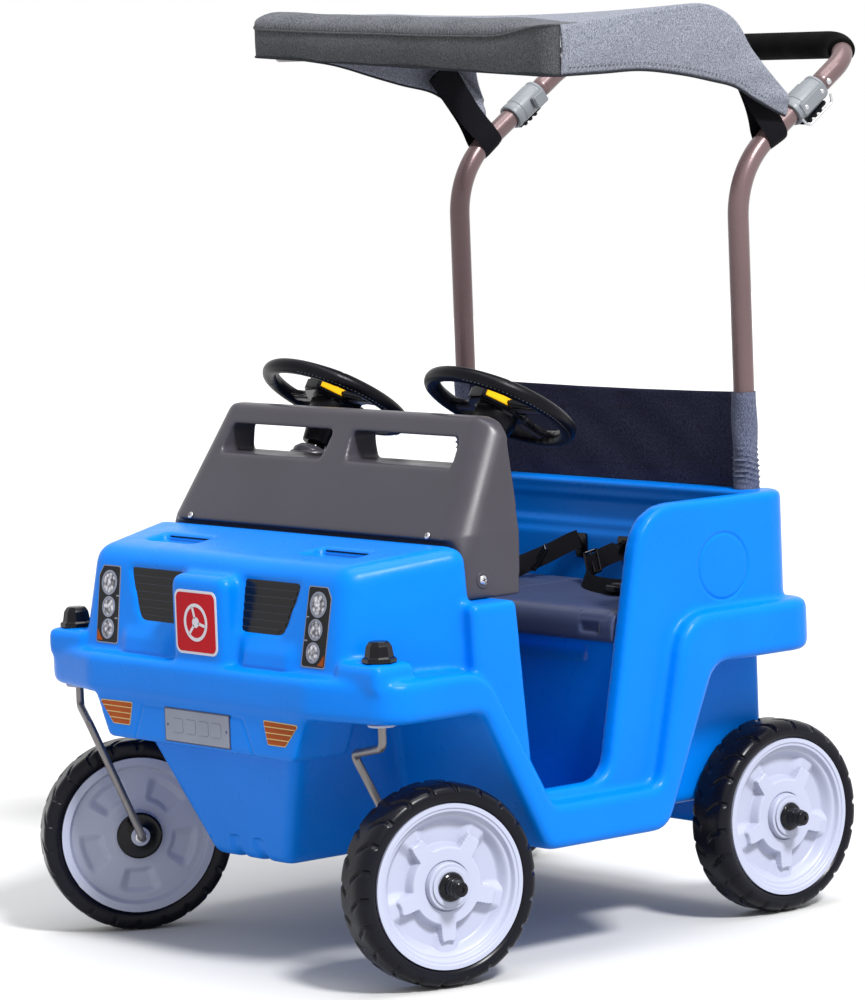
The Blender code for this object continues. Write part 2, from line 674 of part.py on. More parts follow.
def make_caster(sign, side, parts, black, white, steel):
    trail, outboard = caster_axes(sign, side)
    pivot = Vector((sign * CASTER_X, CASTER_Y, 0.0))
    up = Vector((0.0, 0.0, 1.0))
    centre = pivot + trail * CASTER_TRAIL + outboard * CASTER_OFFSET + up * AXLE_HEIGHT
    frame = wheel_frame(centre, outboard)
    make_wheel("front_" + side, frame, parts, black, white)

    disc = [(BORE_RADIUS, -0.0258), (0.0280, -0.0258), (0.0280, -0.0290), (BORE_RADIUS, -0.0290)]
    paint(lathe("front_%s_hub_plate" % side, disc, frame, parts, 20), black)
    ring = [(BORE_RADIUS, -0.0330), (0.0115, -0.0330), (0.0115, -0.0350), (BORE_RADIUS, -0.0350)]
    paint(lathe("front_%s_washer" % side, ring, frame, parts, 16), white)

    heel = centre - outboard * 0.052
    rod_path = fillet_path([
        (pivot + up * (PAD_TOP - GAP), 0.0), (pivot + up * 0.284, 0.011),
        (pivot - outboard * ROD_JOG + up * 0.270, 0.010), (heel, 0.009),
        (centre + outboard * 0.0430, 0.0),
    ])
    rod = tube("caster_rod_" + side, rod_path, ROD_RADIUS, parts)
    paint(rehome(rod, Matrix.Translation(pivot)), steel)

    knob = [(0.0, PAD_TOP + 0.0265), (0.0095, PAD_TOP + 0.0265), (0.0125, PAD_TOP + 0.0235),
            (0.0150, PAD_TOP + 0.0050), (0.0180, PAD_TOP + 0.0035), (0.0180, PAD_TOP + GAP), (0.0, PAD_TOP + GAP)]
    paint(lathe("caster_knob_" + side, knob, Matrix.Translation(pivot), parts, 16), black)
    sleeve = [(0.0056, PAD_TOP - 0.002), (0.0092, PAD_TOP - 0.002), (0.0092, BAND_BOTTOM - GAP),
              (0.0160, BAND_BOTTOM - GAP), (0.0160, BAND_BOTTOM - 0.0035), (0.0056, BAND_BOTTOM - 0.0035)]
    paint(lathe("caster_bushing_" + side, sleeve, Matrix.Translation(pivot), parts, 16), white)


# ---------------------------------------------------------------- handle
def slope_direction():
    return Vector((0.0, math.cos(HANDLE_SLOPE), math.sin(HANDLE_SLOPE)))


def ring_on_tube(name, sign, inner, outer, low, high, group):
    """Sleeve around the sloping tube, between two distances measured from the fold pivot."""
    pivot = slope_point(FOLD_Y) + Vector((sign * TUBE_X, 0.0, 0.0))
    frame = wheel_frame(pivot, slope_direction())
    return lathe(name, [(inner, high), (outer, high), (outer, low), (inner, low)], frame, group, 20)


def make_handle(parts, cutters, tan, black, slate, steel):
    direction = slope_direction()
    pivot_yz = slope_point(FOLD_Y)
    for side, sign in SIDES:
        across = Vector((sign * TUBE_X, 0.0, 0.0))
        pivot = pivot_yz + across
        end = pivot - direction * (TUBE_RADIUS + 0.0012)
        path = fillet_path([((sign * TUBE_X, TUBE_Y, TUBE_FOOT), 0.0),
                            ((sign * TUBE_X, TUBE_Y, BEND_Z), 0.110), (end, 0.0)], 8)
        paint(tube("handle_tube_" + side, path, TUBE_RADIUS, parts), tan)
        collar = ring_on_tube("handle_collar_" + side, sign, 0.0131, COLLAR_RADIUS, -COLLAR_SPAN[0],
                              -COLLAR_SPAN[1], parts)
        inner = -sign
        turn = Matrix.Rotation(HANDLE_SLOPE - math.pi / 2.0, 4, "X")
        seat = Matrix.Translation(pivot - direction * 0.026 + Vector((inner * BUTTON_FACE, 0.0, 0.0))) @ turn
        button = box("collar_button_" + side, (-0.0035, -0.009, -0.011), (0.0035, 0.009, 0.011), parts)
        button.matrix_world = seat
        paint(bake(bevel(button, 0.0015, 2)), slate)
        pocket = box("button_pocket_" + side, (-0.0060, -0.0094, -0.0114), (0.0060, 0.0094, 0.0114), cutters)
        pocket.matrix_world = seat
        paint(bake(combine(collar, pocket, "DIFFERENCE")), slate)
        rivet = rod_between("fold_rivet_" + side, pivot + Vector((sign * (TUBE_RADIUS + 0.0004), 0.0, 0.0)),
                            pivot + Vector((sign * (TUBE_RADIUS + 0.0024), 0.0, 0.0)), 0.0042, parts, 16)
        paint(rivet, steel)

    corner = slope_point(CORNER_Y)
    bar_yz = corner + direction * CORNER_RADIUS
    arm = TUBE_X
    path = fillet_path([(pivot_yz + Vector((-arm, 0, 0)), 0.0), (bar_yz + Vector((-arm, 0, 0)), CORNER_RADIUS),
                        (bar_yz + Vector((arm, 0, 0)), CORNER_RADIUS), (pivot_yz + Vector((arm, 0, 0)), 0.0)], 8)
    bar = tube("handle_bar", path, TUBE_RADIUS, parts)
    for side, sign in SIDES:
        bm = bmesh.new()
        bmesh.ops.create_uvsphere(bm, u_segments=12, v_segments=8, radius=TUBE_RADIUS)
        place = wheel_frame(pivot_yz + Vector((sign * arm, 0.0, 0.0)), direction)
        bmesh.ops.transform(bm, matrix=place, verts=bm.verts)
        ball = mesh_object("fold_ball_" + side, bm, cutters)
        combine(bar, ball, "UNION")
    paint(rehome(bake(bar), Matrix.Translation(pivot_yz)), tan)

    grip_path = [point for point in path if abs(point.x) < TUBE_X - 0.012]
    grip = tube("foam_grip", grip_path, FOAM_RADIUS, parts)
    grip_core = tube("grip_core", path, TUBE_RADIUS + 0.0004, cutters)
    combine(grip, grip_core, "DIFFERENCE")
    paint(rehome(bake(grip), Matrix.Translation(pivot_yz)), black)


# ---------------------------------------------------------------- canopy and back panel
def canopy_side():
    """Side view of the canopy: flat roof, short valance, and a tail that reaches down to the handle."""
    return rounded([
        (-0.081, 1.076, 0.006), (0.145, 1.102, 0.030), (0.208, 1.086, 0.030), (0.244, 1.030, 0.03),
        (0.301, 0.985, 0.004), (0.292, 0.960, 0.004), (0.212, 1.002, 0.10), (0.060, 1.024, 0.08),
        (-0.076, 1.020, 0.003),
    ])


def make_canopy(parts, cutters, cloth, steel, black):
    cover = plate("canopy_cover", canopy_side(), "YZ", -CANOPY_HALF_WIDTH, CANOPY_HALF_WIDTH, parts)
    inside = CANOPY_HALF_WIDTH - CANOPY_SKIN
    hollow = rounded([(-0.074, 1.068, 0.004), (0.145, 1.094, 0.030), (0.204, 1.080, 0.0), (0.204, 0.90, 0.0),
                      (-0.071, 0.90, 0.0)])
    combine(cover, plate("canopy_hollow", hollow, "YZ", -inside, inside, cutters), "DIFFERENCE")
    tail_gap = box("tail_gap", (-inside, 0.190, 0.90), (inside, 0.40, 1.20), cutters)
    combine(cover, tail_gap, "DIFFERENCE")
    paint(bake(cover), cloth, False)

    reach = inside - 0.010
    wire = fillet_path([((-reach, 0.176, 1.050), 0.0), ((-reach, -0.062, 1.048), 0.03),
                        ((reach, -0.062, 1.048), 0.03), ((reach, 0.176, 1.050), 0.0)])
    paint(tube("canopy_frame", wire, 0.0040, parts, 2), steel)

    for side, sign in SIDES:
        strap = rounded([(0.262, 0.912, 0.003), (0.296, 0.930, 0.003), (0.214, 1.040, 0.002), (0.176, 1.036, 0.002)])
        arm = plate("canopy_strap_" + side, strap, "YZ", -0.0150, 0.0150, parts)
        for vert in arm.data.vertices:
            squeeze = min(1.0, max(0.0, (vert.co.z - 0.945) / 0.06))
            vert.co.x *= 1.0 - 0.75 * squeeze
            vert.co.x += sign * TUBE_X
        path = fillet_path([((sign * TUBE_X, TUBE_Y, 0.80), 0.0), ((sign * TUBE_X, TUBE_Y, BEND_Z), 0.110),
                            (slope_point(0.40) + Vector((sign * TUBE_X, 0.0, 0.0)), 0.0)], 8)
        combine(arm, tube("strap_bore_" + side, path, TUBE_RADIUS + 0.0004, cutters), "DIFFERENCE")
        paint(bake(arm), black, False)


def make_back_panel(parts, cutters, cloth):
    panel = box("back_panel", (-TUBE_X, TUBE_Y - 0.002, RIM_HEIGHT + 0.001), (TUBE_X, TUBE_Y + 0.002, 0.636), parts)
    for side, sign in SIDES:
        low = Vector((sign * TUBE_X, TUBE_Y, RIM_HEIGHT + 0.001))
        high = Vector((sign * TUBE_X, TUBE_Y, 0.636))
        combine(panel, rod_between("sleeve_" + side, low, high, 0.0153, cutters), "UNION")
    for side, sign in SIDES:
        low = Vector((sign * TUBE_X, TUBE_Y, 0.40))
        high = Vector((sign * TUBE_X, TUBE_Y, 0.70))
        combine(panel, rod_between("sleeve_bore_" + side, low, high, 0.0129, cutters), "DIFFERENCE")
    paint(bake(panel), cloth, False)


# ---------------------------------------------------------------- assembly
def main():
    for obj in list(bpy.data.objects):
        bpy.data.objects.remove(obj)
    parts = collection("ride_in_push_car")
    cutters = collection("cutters")

    blue = finish_material("moulded_blue", (0.010, 0.210, 0.850), 0.35)
    gray = finish_material("dash_gray", (0.090, 0.085, 0.095), 0.45)
    seat_gray = finish_material("seat_gray", (0.200, 0.210, 0.340), 0.40)
    black = finish_material("black_plastic", (0.012, 0.012, 0.014), 0.30)
    rubber = finish_material("tyre_black", (0.015, 0.015, 0.018), 0.35)
    white = finish_material("hub_white", (0.720, 0.730, 0.820), 0.40)
    steel = finish_material("dark_steel", (0.090, 0.085, 0.085), 0.35, 1.0)
    tan = finish_material("tube_tan", (0.240, 0.150, 0.140), 0.35, 0.3)
    foam = finish_material("foam_black", (0.015, 0.015, 0.015), 0.80)
    slate = finish_material("collar_gray", (0.280, 0.340, 0.380), 0.45)
    cloth = finish_material("heather_gray", (0.180, 0.190, 0.240), 0.90)
    dark_cloth = finish_material("dark_mesh", (0.040, 0.042, 0.060), 0.90)
    lamp = finish_material("lamp", (0.400, 0.400, 0.420), 0.20)
    orange = finish_material("fog_orange", (0.600, 0.120, 0.020), 0.30)
    silver = finish_material("plate_silver", (0.450, 0.460, 0.500), 0.30)
    red = finish_material("badge_red", (0.600, 0.010, 0.015), 0.35)

    paint(make_body(parts, cutters), blue)
    paint(make_windshield(parts, cutters), gray)
    for side, sign in SIDES:
        screw = rod_between("dash_screw_" + side, (sign * 0.2745, -0.205, 0.455), (sign * 0.2765, -0.205, 0.455),
                            0.0052, parts, 16)
        paint(screw, steel)
        make_steering(sign, side, parts, cutters, black)
        make_caster(sign, side, parts, rubber, white, steel)
    make_seat_lid(parts, cutters, seat_gray)
    make_belts(parts, black)
    make_trim(parts, black, lamp, orange, silver, red)
    make_rear_wheels(parts, rubber, white, steel)
    make_handle(parts, cutters, tan, foam, slate, steel)
    make_canopy(parts, cutters, cloth, steel, black)
    make_back_panel(parts, cutters, dark_cloth)
    for obj in bpy.data.objects:
        obj.location += Vector(SET_DOWN)


main()
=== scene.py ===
"""Visual model of a two-seat ride-in push car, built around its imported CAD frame.

Units are metres. The car faces -Y, +Z is up and the ground is z = 0.
"""
import json
import math

import bmesh
import bpy
import numpy as np
from mathutils import Matrix, Vector

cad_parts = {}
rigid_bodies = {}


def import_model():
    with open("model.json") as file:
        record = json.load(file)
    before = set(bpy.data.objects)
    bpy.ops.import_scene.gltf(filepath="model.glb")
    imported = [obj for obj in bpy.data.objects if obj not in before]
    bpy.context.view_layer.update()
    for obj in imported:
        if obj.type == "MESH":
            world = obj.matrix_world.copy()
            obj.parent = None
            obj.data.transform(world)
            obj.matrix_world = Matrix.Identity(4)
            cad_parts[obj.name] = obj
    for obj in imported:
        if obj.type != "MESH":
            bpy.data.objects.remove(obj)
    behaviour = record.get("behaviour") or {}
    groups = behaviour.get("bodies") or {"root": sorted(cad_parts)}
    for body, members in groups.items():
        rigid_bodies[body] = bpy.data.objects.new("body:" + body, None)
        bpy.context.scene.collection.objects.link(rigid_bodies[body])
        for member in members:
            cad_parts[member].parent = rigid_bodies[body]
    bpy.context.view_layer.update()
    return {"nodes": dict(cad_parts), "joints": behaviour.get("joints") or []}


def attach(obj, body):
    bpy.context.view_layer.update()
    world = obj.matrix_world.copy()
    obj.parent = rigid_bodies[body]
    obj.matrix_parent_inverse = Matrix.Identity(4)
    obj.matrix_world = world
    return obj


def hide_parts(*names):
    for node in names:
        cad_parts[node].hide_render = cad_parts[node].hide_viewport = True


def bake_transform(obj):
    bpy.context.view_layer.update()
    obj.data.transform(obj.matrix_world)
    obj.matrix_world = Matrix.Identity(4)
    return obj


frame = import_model()
SIDES = (("left", -1.0), ("right", 1.0))
# Everything below is laid out about the car's own middle plane with the axles 125 mm up, then moved by this.
SET_DOWN = Vector((-0.0030, -0.0065, -0.0095))


# The two upright tubes, and the canopy over them.
POST_X = 0.255
POST_Y = 0.2278
POST_BEND_Z = 0.8987
TUBE_RADIUS = 0.0125
SLOPE_RISE = 0.68
CLOTH_THICKNESS = 0.0016
PANEL_FOOT = 0.5135
PANEL_TOP = 0.6345
PANEL_HEIGHT = 0.121


# ---------------------------------------------------------------- materials
def shader_of(name):
    material = bpy.data.materials.new(name)
    material.use_nodes = True
    return material, material.node_tree, material.node_tree.nodes["Principled BSDF"]


def object_noise(tree, scale, detail=2.0, stretch=(1.0, 1.0, 1.0)):
    """Noise in object space. stretch multiplies the coordinates, so a small number makes long streaks."""
    coordinates = tree.nodes.new("ShaderNodeTexCoord")
    mapping = tree.nodes.new("ShaderNodeMapping")
    mapping.inputs["Scale"].default_value = stretch
    noise = tree.nodes.new("ShaderNodeTexNoise")
    noise.inputs["Scale"].default_value = scale
    noise.inputs["Detail"].default_value = detail
    tree.links.new(coordinates.outputs["Object"], mapping.inputs["Vector"])
    tree.links.new(mapping.outputs["Vector"], noise.inputs["Vector"])
    return noise.outputs["Fac"]


def ramp(tree, factor, stops):
    node = tree.nodes.new("ShaderNodeValToRGB")
    elements = node.color_ramp.elements
    while len(elements) < len(stops):
        elements.new(0.5)
    for element, (position, color) in zip(elements, stops):
        element.position = position
        element.color = (*color, 1.0)
    tree.links.new(factor, node.inputs["Fac"])
    return node.outputs["Color"]


def spread(tree, factor, low, high):
    node = tree.nodes.new("ShaderNodeMapRange")
    node.inputs["From Min"].default_value = 0.3
    node.inputs["From Max"].default_value = 0.7
    node.inputs["To Min"].default_value = low
    node.inputs["To Max"].default_value = high
    tree.links.new(factor, node.inputs["Value"])
    return node.outputs["Result"]


def bump(tree, shader, height, strength, distance):
    node = tree.nodes.new("ShaderNodeBump")
    node.inputs["Strength"].default_value = strength
    node.inputs["Distance"].default_value = distance
    tree.links.new(height, node.inputs["Height"])
    tree.links.new(node.outputs["Normal"], shader.inputs["Normal"])


def plastic(name, color, rough, vary=0.08, grain=600.0, relief=0.15, metallic=0.0, shine=0.3):
    """Moulded plastic or painted metal: cloudy colour, uneven gloss and a fine skin texture."""
    material, tree, shader = shader_of(name)
    dark = tuple(channel * (1.0 - vary) for channel in color)
    light = tuple(min(1.0, channel * (1.0 + vary)) for channel in color)
    tint = ramp(tree, object_noise(tree, 7.0, 3.0), [(0.30, dark), (0.70, light)])
    tree.links.new(tint, shader.inputs["Base Color"])
    gloss = spread(tree, object_noise(tree, 38.0, 4.0), rough * 0.86, rough * 1.16)
    tree.links.new(gloss, shader.inputs["Roughness"])
    bump(tree, shader, object_noise(tree, grain, 2.0), relief, 0.0003)
    shader.inputs["Metallic"].default_value = metallic
    shader.inputs["Specular IOR Level"].default_value = shine
    return material


def cloth(name, dark, light, scale=520.0, relief=0.5, sheen=0.25):
    """Heather weave: two yarn colours mixed as short slubs, over a fine crossed weave."""
    material, tree, shader = shader_of(name)
    slubs = object_noise(tree, scale, 3.0, (1.0, 1.0, 0.55))
    specks = object_noise(tree, scale * 2.1, 2.0)
    mix = tree.nodes.new("ShaderNodeMath")
    mix.operation = "MULTIPLY_ADD"
    mix.inputs[1].default_value = 0.5
    tree.links.new(specks, mix.inputs[0])
    half = tree.nodes.new("ShaderNodeMath")
    half.operation = "MULTIPLY"
    half.inputs[1].default_value = 0.5
    tree.links.new(slubs, half.inputs[0])
    tree.links.new(half.outputs[0], mix.inputs[2])
    middle = tuple((a + b) * 0.5 for a, b in zip(dark, light))
    tint = ramp(tree, mix.outputs[0], [(0.36, dark), (0.50, middle), (0.62, light)])
    tree.links.new(tint, shader.inputs["Base Color"])
    shader.inputs["Roughness"].default_value = 0.92
    shader.inputs["Specular IOR Level"].default_value = 0.12
    shader.inputs["Sheen Weight"].default_value = sheen
    shader.inputs["Sheen Roughness"].default_value = 0.5
    bump(tree, shader, mix.outputs[0], relief, 0.0006)
    return material


def webbing(name, color):
    """Woven strap: ribs across a dark band."""
    material, tree, shader = shader_of(name)
    coordinates = tree.nodes.new("ShaderNodeTexCoord")
    wave = tree.nodes.new("ShaderNodeTexWave")
    wave.bands_direction = "DIAGONAL"
    wave.inputs["Scale"].default_value = 190.0
    wave.inputs["Distortion"].default_value = 1.5
    tree.links.new(coordinates.outputs["Object"], wave.inputs["Vector"])
    light = tuple(channel * 2.6 + 0.001 for channel in color)
    tint = ramp(tree, wave.outputs["Fac"], [(0.35, color), (0.85, light)])
    tree.links.new(tint, shader.inputs["Base Color"])
    shader.inputs["Roughness"].default_value = 0.75
    shader.inputs["Specular IOR Level"].default_value = 0.08
    bump(tree, shader, wave.outputs["Fac"], 0.6, 0.0005)
    return material


def brushed(name, color, rough):
    material, tree, shader = shader_of(name)
    streaks = object_noise(tree, 90.0, 4.0, (1.0, 1.0, 0.08))
    dark = tuple(channel * 0.7 for channel in color)
    tree.links.new(ramp(tree, streaks, [(0.3, dark), (0.7, color)]), shader.inputs["Base Color"])
    tree.links.new(spread(tree, streaks, rough * 0.8, rough * 1.3), shader.inputs["Roughness"])
    shader.inputs["Metallic"].default_value = 0.85
    bump(tree, shader, streaks, 0.2, 0.0003)
    return material


def lamp_glass(name):
    """Printed lamp face: bright facets between darker lines."""
    material, tree, shader = shader_of(name)
    coordinates = tree.nodes.new("ShaderNodeTexCoord")
    cells = tree.nodes.new("ShaderNodeTexVoronoi")
    cells.inputs["Scale"].default_value = 210.0
    tree.links.new(coordinates.outputs["Object"], cells.inputs["Vector"])
    tint = ramp(tree, cells.outputs["Distance"], [(0.15, (0.52, 0.53, 0.56)), (0.55, (0.20, 0.20, 0.23)),
                                                  (0.80, (0.03, 0.03, 0.04))])
    tree.links.new(tint, shader.inputs["Base Color"])
    shader.inputs["Roughness"].default_value = 0.18
    bump(tree, shader, cells.outputs["Distance"], 0.4, 0.0005)
    return material


BLUE = plastic("moulded_blue", (0.0, 0.138, 0.560), 0.30, 0.05, 420.0, 0.08, shine=0.10)
DASH = plastic("dash_gray", (0.036, 0.033, 0.042), 0.34, 0.07, 700.0, 0.16)
SEAT = plastic("seat_gray", (0.036, 0.046, 0.095), 0.34, 0.07, 700.0, 0.18, shine=0.16)
BLACK = plastic("gloss_black", (0.0025, 0.0025, 0.0040), 0.16, 0.20, 500.0, 0.10, shine=0.22)
TYRE = plastic("tyre_black", (0.0028, 0.0028, 0.0060), 0.26, 0.25, 260.0, 0.14, shine=0.16)
WHITE = plastic("hub_white", (0.330, 0.350, 0.450), 0.32, 0.04, 500.0, 0.08)
LEATHER = plastic("grip_black", (0.0020, 0.0020, 0.0036), 0.32, 0.25, 900.0, 0.45, shine=0.13)
STEEL = brushed("dark_steel", (0.230, 0.215, 0.215), 0.34)
BRIGHT = brushed("bright_steel", (0.620, 0.620, 0.640), 0.25)
TUBE = plastic("tube_taupe", (0.130, 0.085, 0.088), 0.28, 0.08, 1500.0, 0.20, metallic=0.35)
FOAM = plastic("foam_black", (0.0022, 0.0022, 0.0026), 0.85, 0.30, 1100.0, 0.8, shine=0.06)
SLATE = plastic("collar_gray", (0.150, 0.162, 0.178), 0.38, 0.07, 800.0, 0.15)
HEATHER = cloth("heather_gray", (0.034, 0.037, 0.050), (0.275, 0.290, 0.345), 900.0, 0.4, 0.05)
# A darker copy of the heather fabric: painted shade for the padded front roll of the canopy roof, which faces
# away from the key light.
HEATHER_ROLL_SHADE = cloth("heather_roll_painted_shade", (0.018, 0.019, 0.022), (0.135, 0.142, 0.158), 900.0, 0.4, 0.05)
# The darkest copy of the heather fabric: painted shade for the canopy's front sheet. It also colours the
# front piping and the side stitches.
HEATHER_SHADE_AND_TRIM = cloth("heather_shade_and_trim", (0.012, 0.013, 0.014), (0.085, 0.090, 0.095), 900.0, 0.4, 0.05)
MESH_DARK = cloth("dark_mesh", (0.0015, 0.0018, 0.005), (0.030, 0.032, 0.070), 800.0, 0.4, 0.02)
SLEEVE = cloth("sleeve_gray", (0.016, 0.018, 0.036), (0.130, 0.145, 0.210), 800.0, 0.4, 0.05)
THREAD_DARK = plastic("thread_dark", (0.006, 0.007, 0.012), 0.80, 0.10)
WEBBING = webbing("webbing_black", (0.0012, 0.0012, 0.0022))
STICKER = plastic("sticker_black", (0.0040, 0.0045, 0.0060), 0.25, 0.20, 600.0, 0.05, shine=0.15)
SILVER = plastic("sticker_silver", (0.170, 0.185, 0.240), 0.25, 0.20, 300.0, 0.05, metallic=0.3)
LAMP = lamp_glass("lamp_glass")
RED = plastic("badge_red", (0.330, 0.0004, 0.0060), 0.28, 0.10, 600.0, 0.05, shine=0.08)
CREAM = plastic("print_cream", (0.420, 0.310, 0.120), 0.30, 0.05)
PAPER = plastic("print_white", (0.430, 0.430, 0.480), 0.30, 0.03)
ORANGE = plastic("fog_orange", (0.240, 0.042, 0.001), 0.26, 0.35, 500.0, 0.3, shine=0.10)
YELLOW = plastic("bar_yellow", (0.760, 0.400, 0.006), 0.32, 0.06, 600.0, 0.08, shine=0.12)
GRAY_LINE = plastic("grille_line", (0.030, 0.034, 0.045), 0.35, 0.10, 600.0, 0.05, shine=0.15)
NAVY = plastic("plate_navy", (0.020, 0.030, 0.090), 0.30, 0.10)


# ---------------------------------------------------------------- mesh helpers
def link(obj):
    bpy.context.scene.collection.objects.link(obj)
    return obj


def finish_piece(obj, material, body, replaces=(), sharp=40.0):
    obj.data.materials.clear()
    obj.data.materials.append(material)
    obj.data.shade_smooth()
    if sharp:
        obj.data.set_sharp_from_angle(angle=math.radians(sharp))
    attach(obj, body)
    if replaces:
        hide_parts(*replaces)
    return obj


def tidy_mesh(obj, merge=0.00002):
    bm = bmesh.new()
    bm.from_mesh(obj.data)
    bmesh.ops.remove_doubles(bm, verts=bm.verts, dist=merge)
    bmesh.ops.recalc_face_normals(bm, faces=bm.faces)
    bm.to_mesh(obj.data)
    bm.free()
    return obj


def grid_object(name, points, wrap_rows=False, wrap_columns=False):
    """Quad mesh over a (rows, columns, 3) array of points."""
    rows, columns = points.shape[:2]
    index = np.arange(rows * columns).reshape(rows, columns)
    if wrap_rows:
        index = np.vstack([index, index[:1]])
    if wrap_columns:
        index = np.hstack([index, index[:, :1]])
    faces = np.stack([index[:-1, :-1], index[1:, :-1], index[1:, 1:], index[:-1, 1:]], axis=-1)
    mesh = bpy.data.meshes.new(name)
    mesh.from_pydata(points.reshape(-1, 3).tolist(), [], faces.reshape(-1, 4).tolist())
    return link(bpy.data.objects.new(name, mesh))


def apply_modifiers(obj):
    bpy.context.view_layer.update()
    evaluated = obj.evaluated_get(bpy.context.evaluated_depsgraph_get())
    mesh = bpy.data.meshes.new_from_object(evaluated)
    obj.modifiers.clear()
    obj.data = mesh
    return obj


def coordinates(obj):
    points = np.empty(len(obj.data.vertices) * 3, dtype=np.float32)
    obj.data.vertices.foreach_get("co", points)
    return points.reshape(-1, 3)


def move_vertices(obj, points):
    obj.data.vertices.foreach_set("co", points.astype(np.float32).ravel())
    obj.data.update()


def place(obj, matrix):
    """Bake a matrix into the mesh, so the object itself stays at the origin."""
    obj.data.transform(matrix)
    obj.data.update()
    return obj


def smoothstep(low, high, value):
    t = np.clip((value - low) / (high - low), 0.0, 1.0)
    return t * t * (3.0 - 2.0 * t)


def rounded(corners, steps=5, closed=True):
    """Outline through (a, b, radius) corners, each replaced by an arc."""
    points = []
    last = len(corners) - 1
    for index, (a, b, radius) in enumerate(corners):
        here = Vector((a, b))
        if radius <= 0.0 or (not closed and index in (0, last)):
            points.append((a, b))
            continue
        before = (Vector(corners[index - 1][:2]) - here).normalized()
        after = (Vector(corners[(index + 1) % len(corners)][:2]) - here).normalized()
        half_angle = before.angle(after) / 2.0
        centre = here + (before + after).normalized() * radius / math.sin(half_angle)
        start = here + before * radius / math.tan(half_angle) - centre
        sweep = start.angle_signed(here + after * radius / math.tan(half_angle) - centre)
        for step in range(steps + 1):
            points.append(tuple(centre + Matrix.Rotation(-sweep * step / steps, 2) @ start))
    return points


def rectangle(half_a, half_b, radius, steps=4):
    """Outline of a rectangle about the origin, with rounded corners."""
    return rounded([(-half_a, -half_b, radius), (half_a, -half_b, radius), (half_a, half_b, radius),
                    (-half_a, half_b, radius)], steps)


def smooth_path(points, count):
    """Catmull-Rom curve through 3-D points, resampled evenly by length."""
    knots = [Vector(point) for point in points]
    knots = [knots[0] * 2.0 - knots[1]] + knots + [knots[-1] * 2.0 - knots[-2]]
    fine = []
    for index in range(1, len(knots) - 2):
        p0, p1, p2, p3 = knots[index - 1:index + 3]
        for step in range(16):
            t = step / 16.0
            first = (p2 - p0) * 0.5
            second = (p3 - p1) * 0.5
            fine.append(p1 * (2 * t ** 3 - 3 * t ** 2 + 1) + p2 * (3 * t ** 2 - 2 * t ** 3)
                        + first * (t ** 3 - 2 * t ** 2 + t) + second * (t ** 3 - t ** 2))
    fine.append(knots[-2])
    return resample(fine, count)


def resample(path, count):
    """Points spaced evenly along a polyline."""
    points = np.array([tuple(point) for point in path])
    reach = np.concatenate([[0.0], np.cumsum(np.linalg.norm(np.diff(points, axis=0), axis=1))])
    want = np.linspace(0.0, reach[-1], count)
    return [Vector([float(np.interp(value, reach, points[:, axis])) for axis in range(3)]) for value in want]


def path_frames(path, normal):
    """Tangent, side and normal at each point, carried along without twist."""
    frames = []
    up = Vector(normal).normalized()
    for index, point in enumerate(path):
        tangent = (path[min(index + 1, len(path) - 1)] - path[max(index - 1, 0)]).normalized()
        up = (up - tangent * up.dot(tangent)).normalized()
        frames.append((point, tangent.cross(up), up))
    return frames


def sweep(name, path, radius, segments=24, normal=(0.0, 0.0, 1.0), capped=True):
    """Round bar along a path. radius is one number, or a function of the share of the length."""
    frames = path_frames(path, normal)
    turns = np.linspace(0.0, 2.0 * math.pi, segments, endpoint=False)
    rings = []
    for index, (point, side, up) in enumerate(frames):
        size = radius(index / (len(frames) - 1)) if callable(radius) else radius
        rings.append([point + (side * math.cos(t) + up * math.sin(t)) * size for t in turns])
    if capped:
        rings.insert(0, [frames[0][0]] * segments)
        rings.append([frames[-1][0]] * segments)
    obj = grid_object(name, np.array([[tuple(point) for point in ring] for ring in rings]), False, True)
    return tidy_mesh(obj)


def ribbon(name, path, width_axis, width, thickness, rows=7):
    """Flat strap with softly rounded long edges, its width along width_axis."""
    across = Vector(width_axis).normalized()
    loops = []
    for index, point in enumerate(path):
        tangent = (path[min(index + 1, len(path) - 1)] - path[max(index - 1, 0)]).normalized()
        side = (across - tangent * across.dot(tangent)).normalized()
        face = tangent.cross(side).normalized()
        share = np.linspace(-1.0, 1.0, rows)
        top = [point + side * s * width / 2 + face * thickness / 2 * (1.0 - 0.75 * abs(s) ** 6)
               for s in share]
        low = [point + side * s * width / 2 - face * thickness / 2 * (1.0 - 0.75 * abs(s) ** 6)
               for s in share]
        loops.append([tuple(p) for p in top + low[::-1]])
    middle = lambda loop: [tuple(np.mean(loop, axis=0))] * len(loop)
    loops = [middle(loops[0])] + loops + [middle(loops[-1])]
    return tidy_mesh(grid_object(name, np.array(loops), False, True), 0.000005)


def lathe(name, profile, matrix, steps=64, flat_sides=0):
    """Turn a (radius, axial) profile about local Z. Ends on the axis close it, others join into a ring."""
    turns = np.linspace(0.0, 2.0 * math.pi, steps, endpoint=False)
    reach = np.ones(steps)
    if flat_sides:
        half = math.pi / flat_sides
        reach = math.cos(half) / np.cos((turns % (2.0 * half)) - half)
    rings = [[(r * k * math.cos(t), r * k * math.sin(t), z) for t, k in zip(turns, reach)] for r,
             z in profile]
    closed = profile[0][0] > 0.0
    obj = tidy_mesh(grid_object(name, np.array(rings), closed, True))
    return place(obj, matrix)


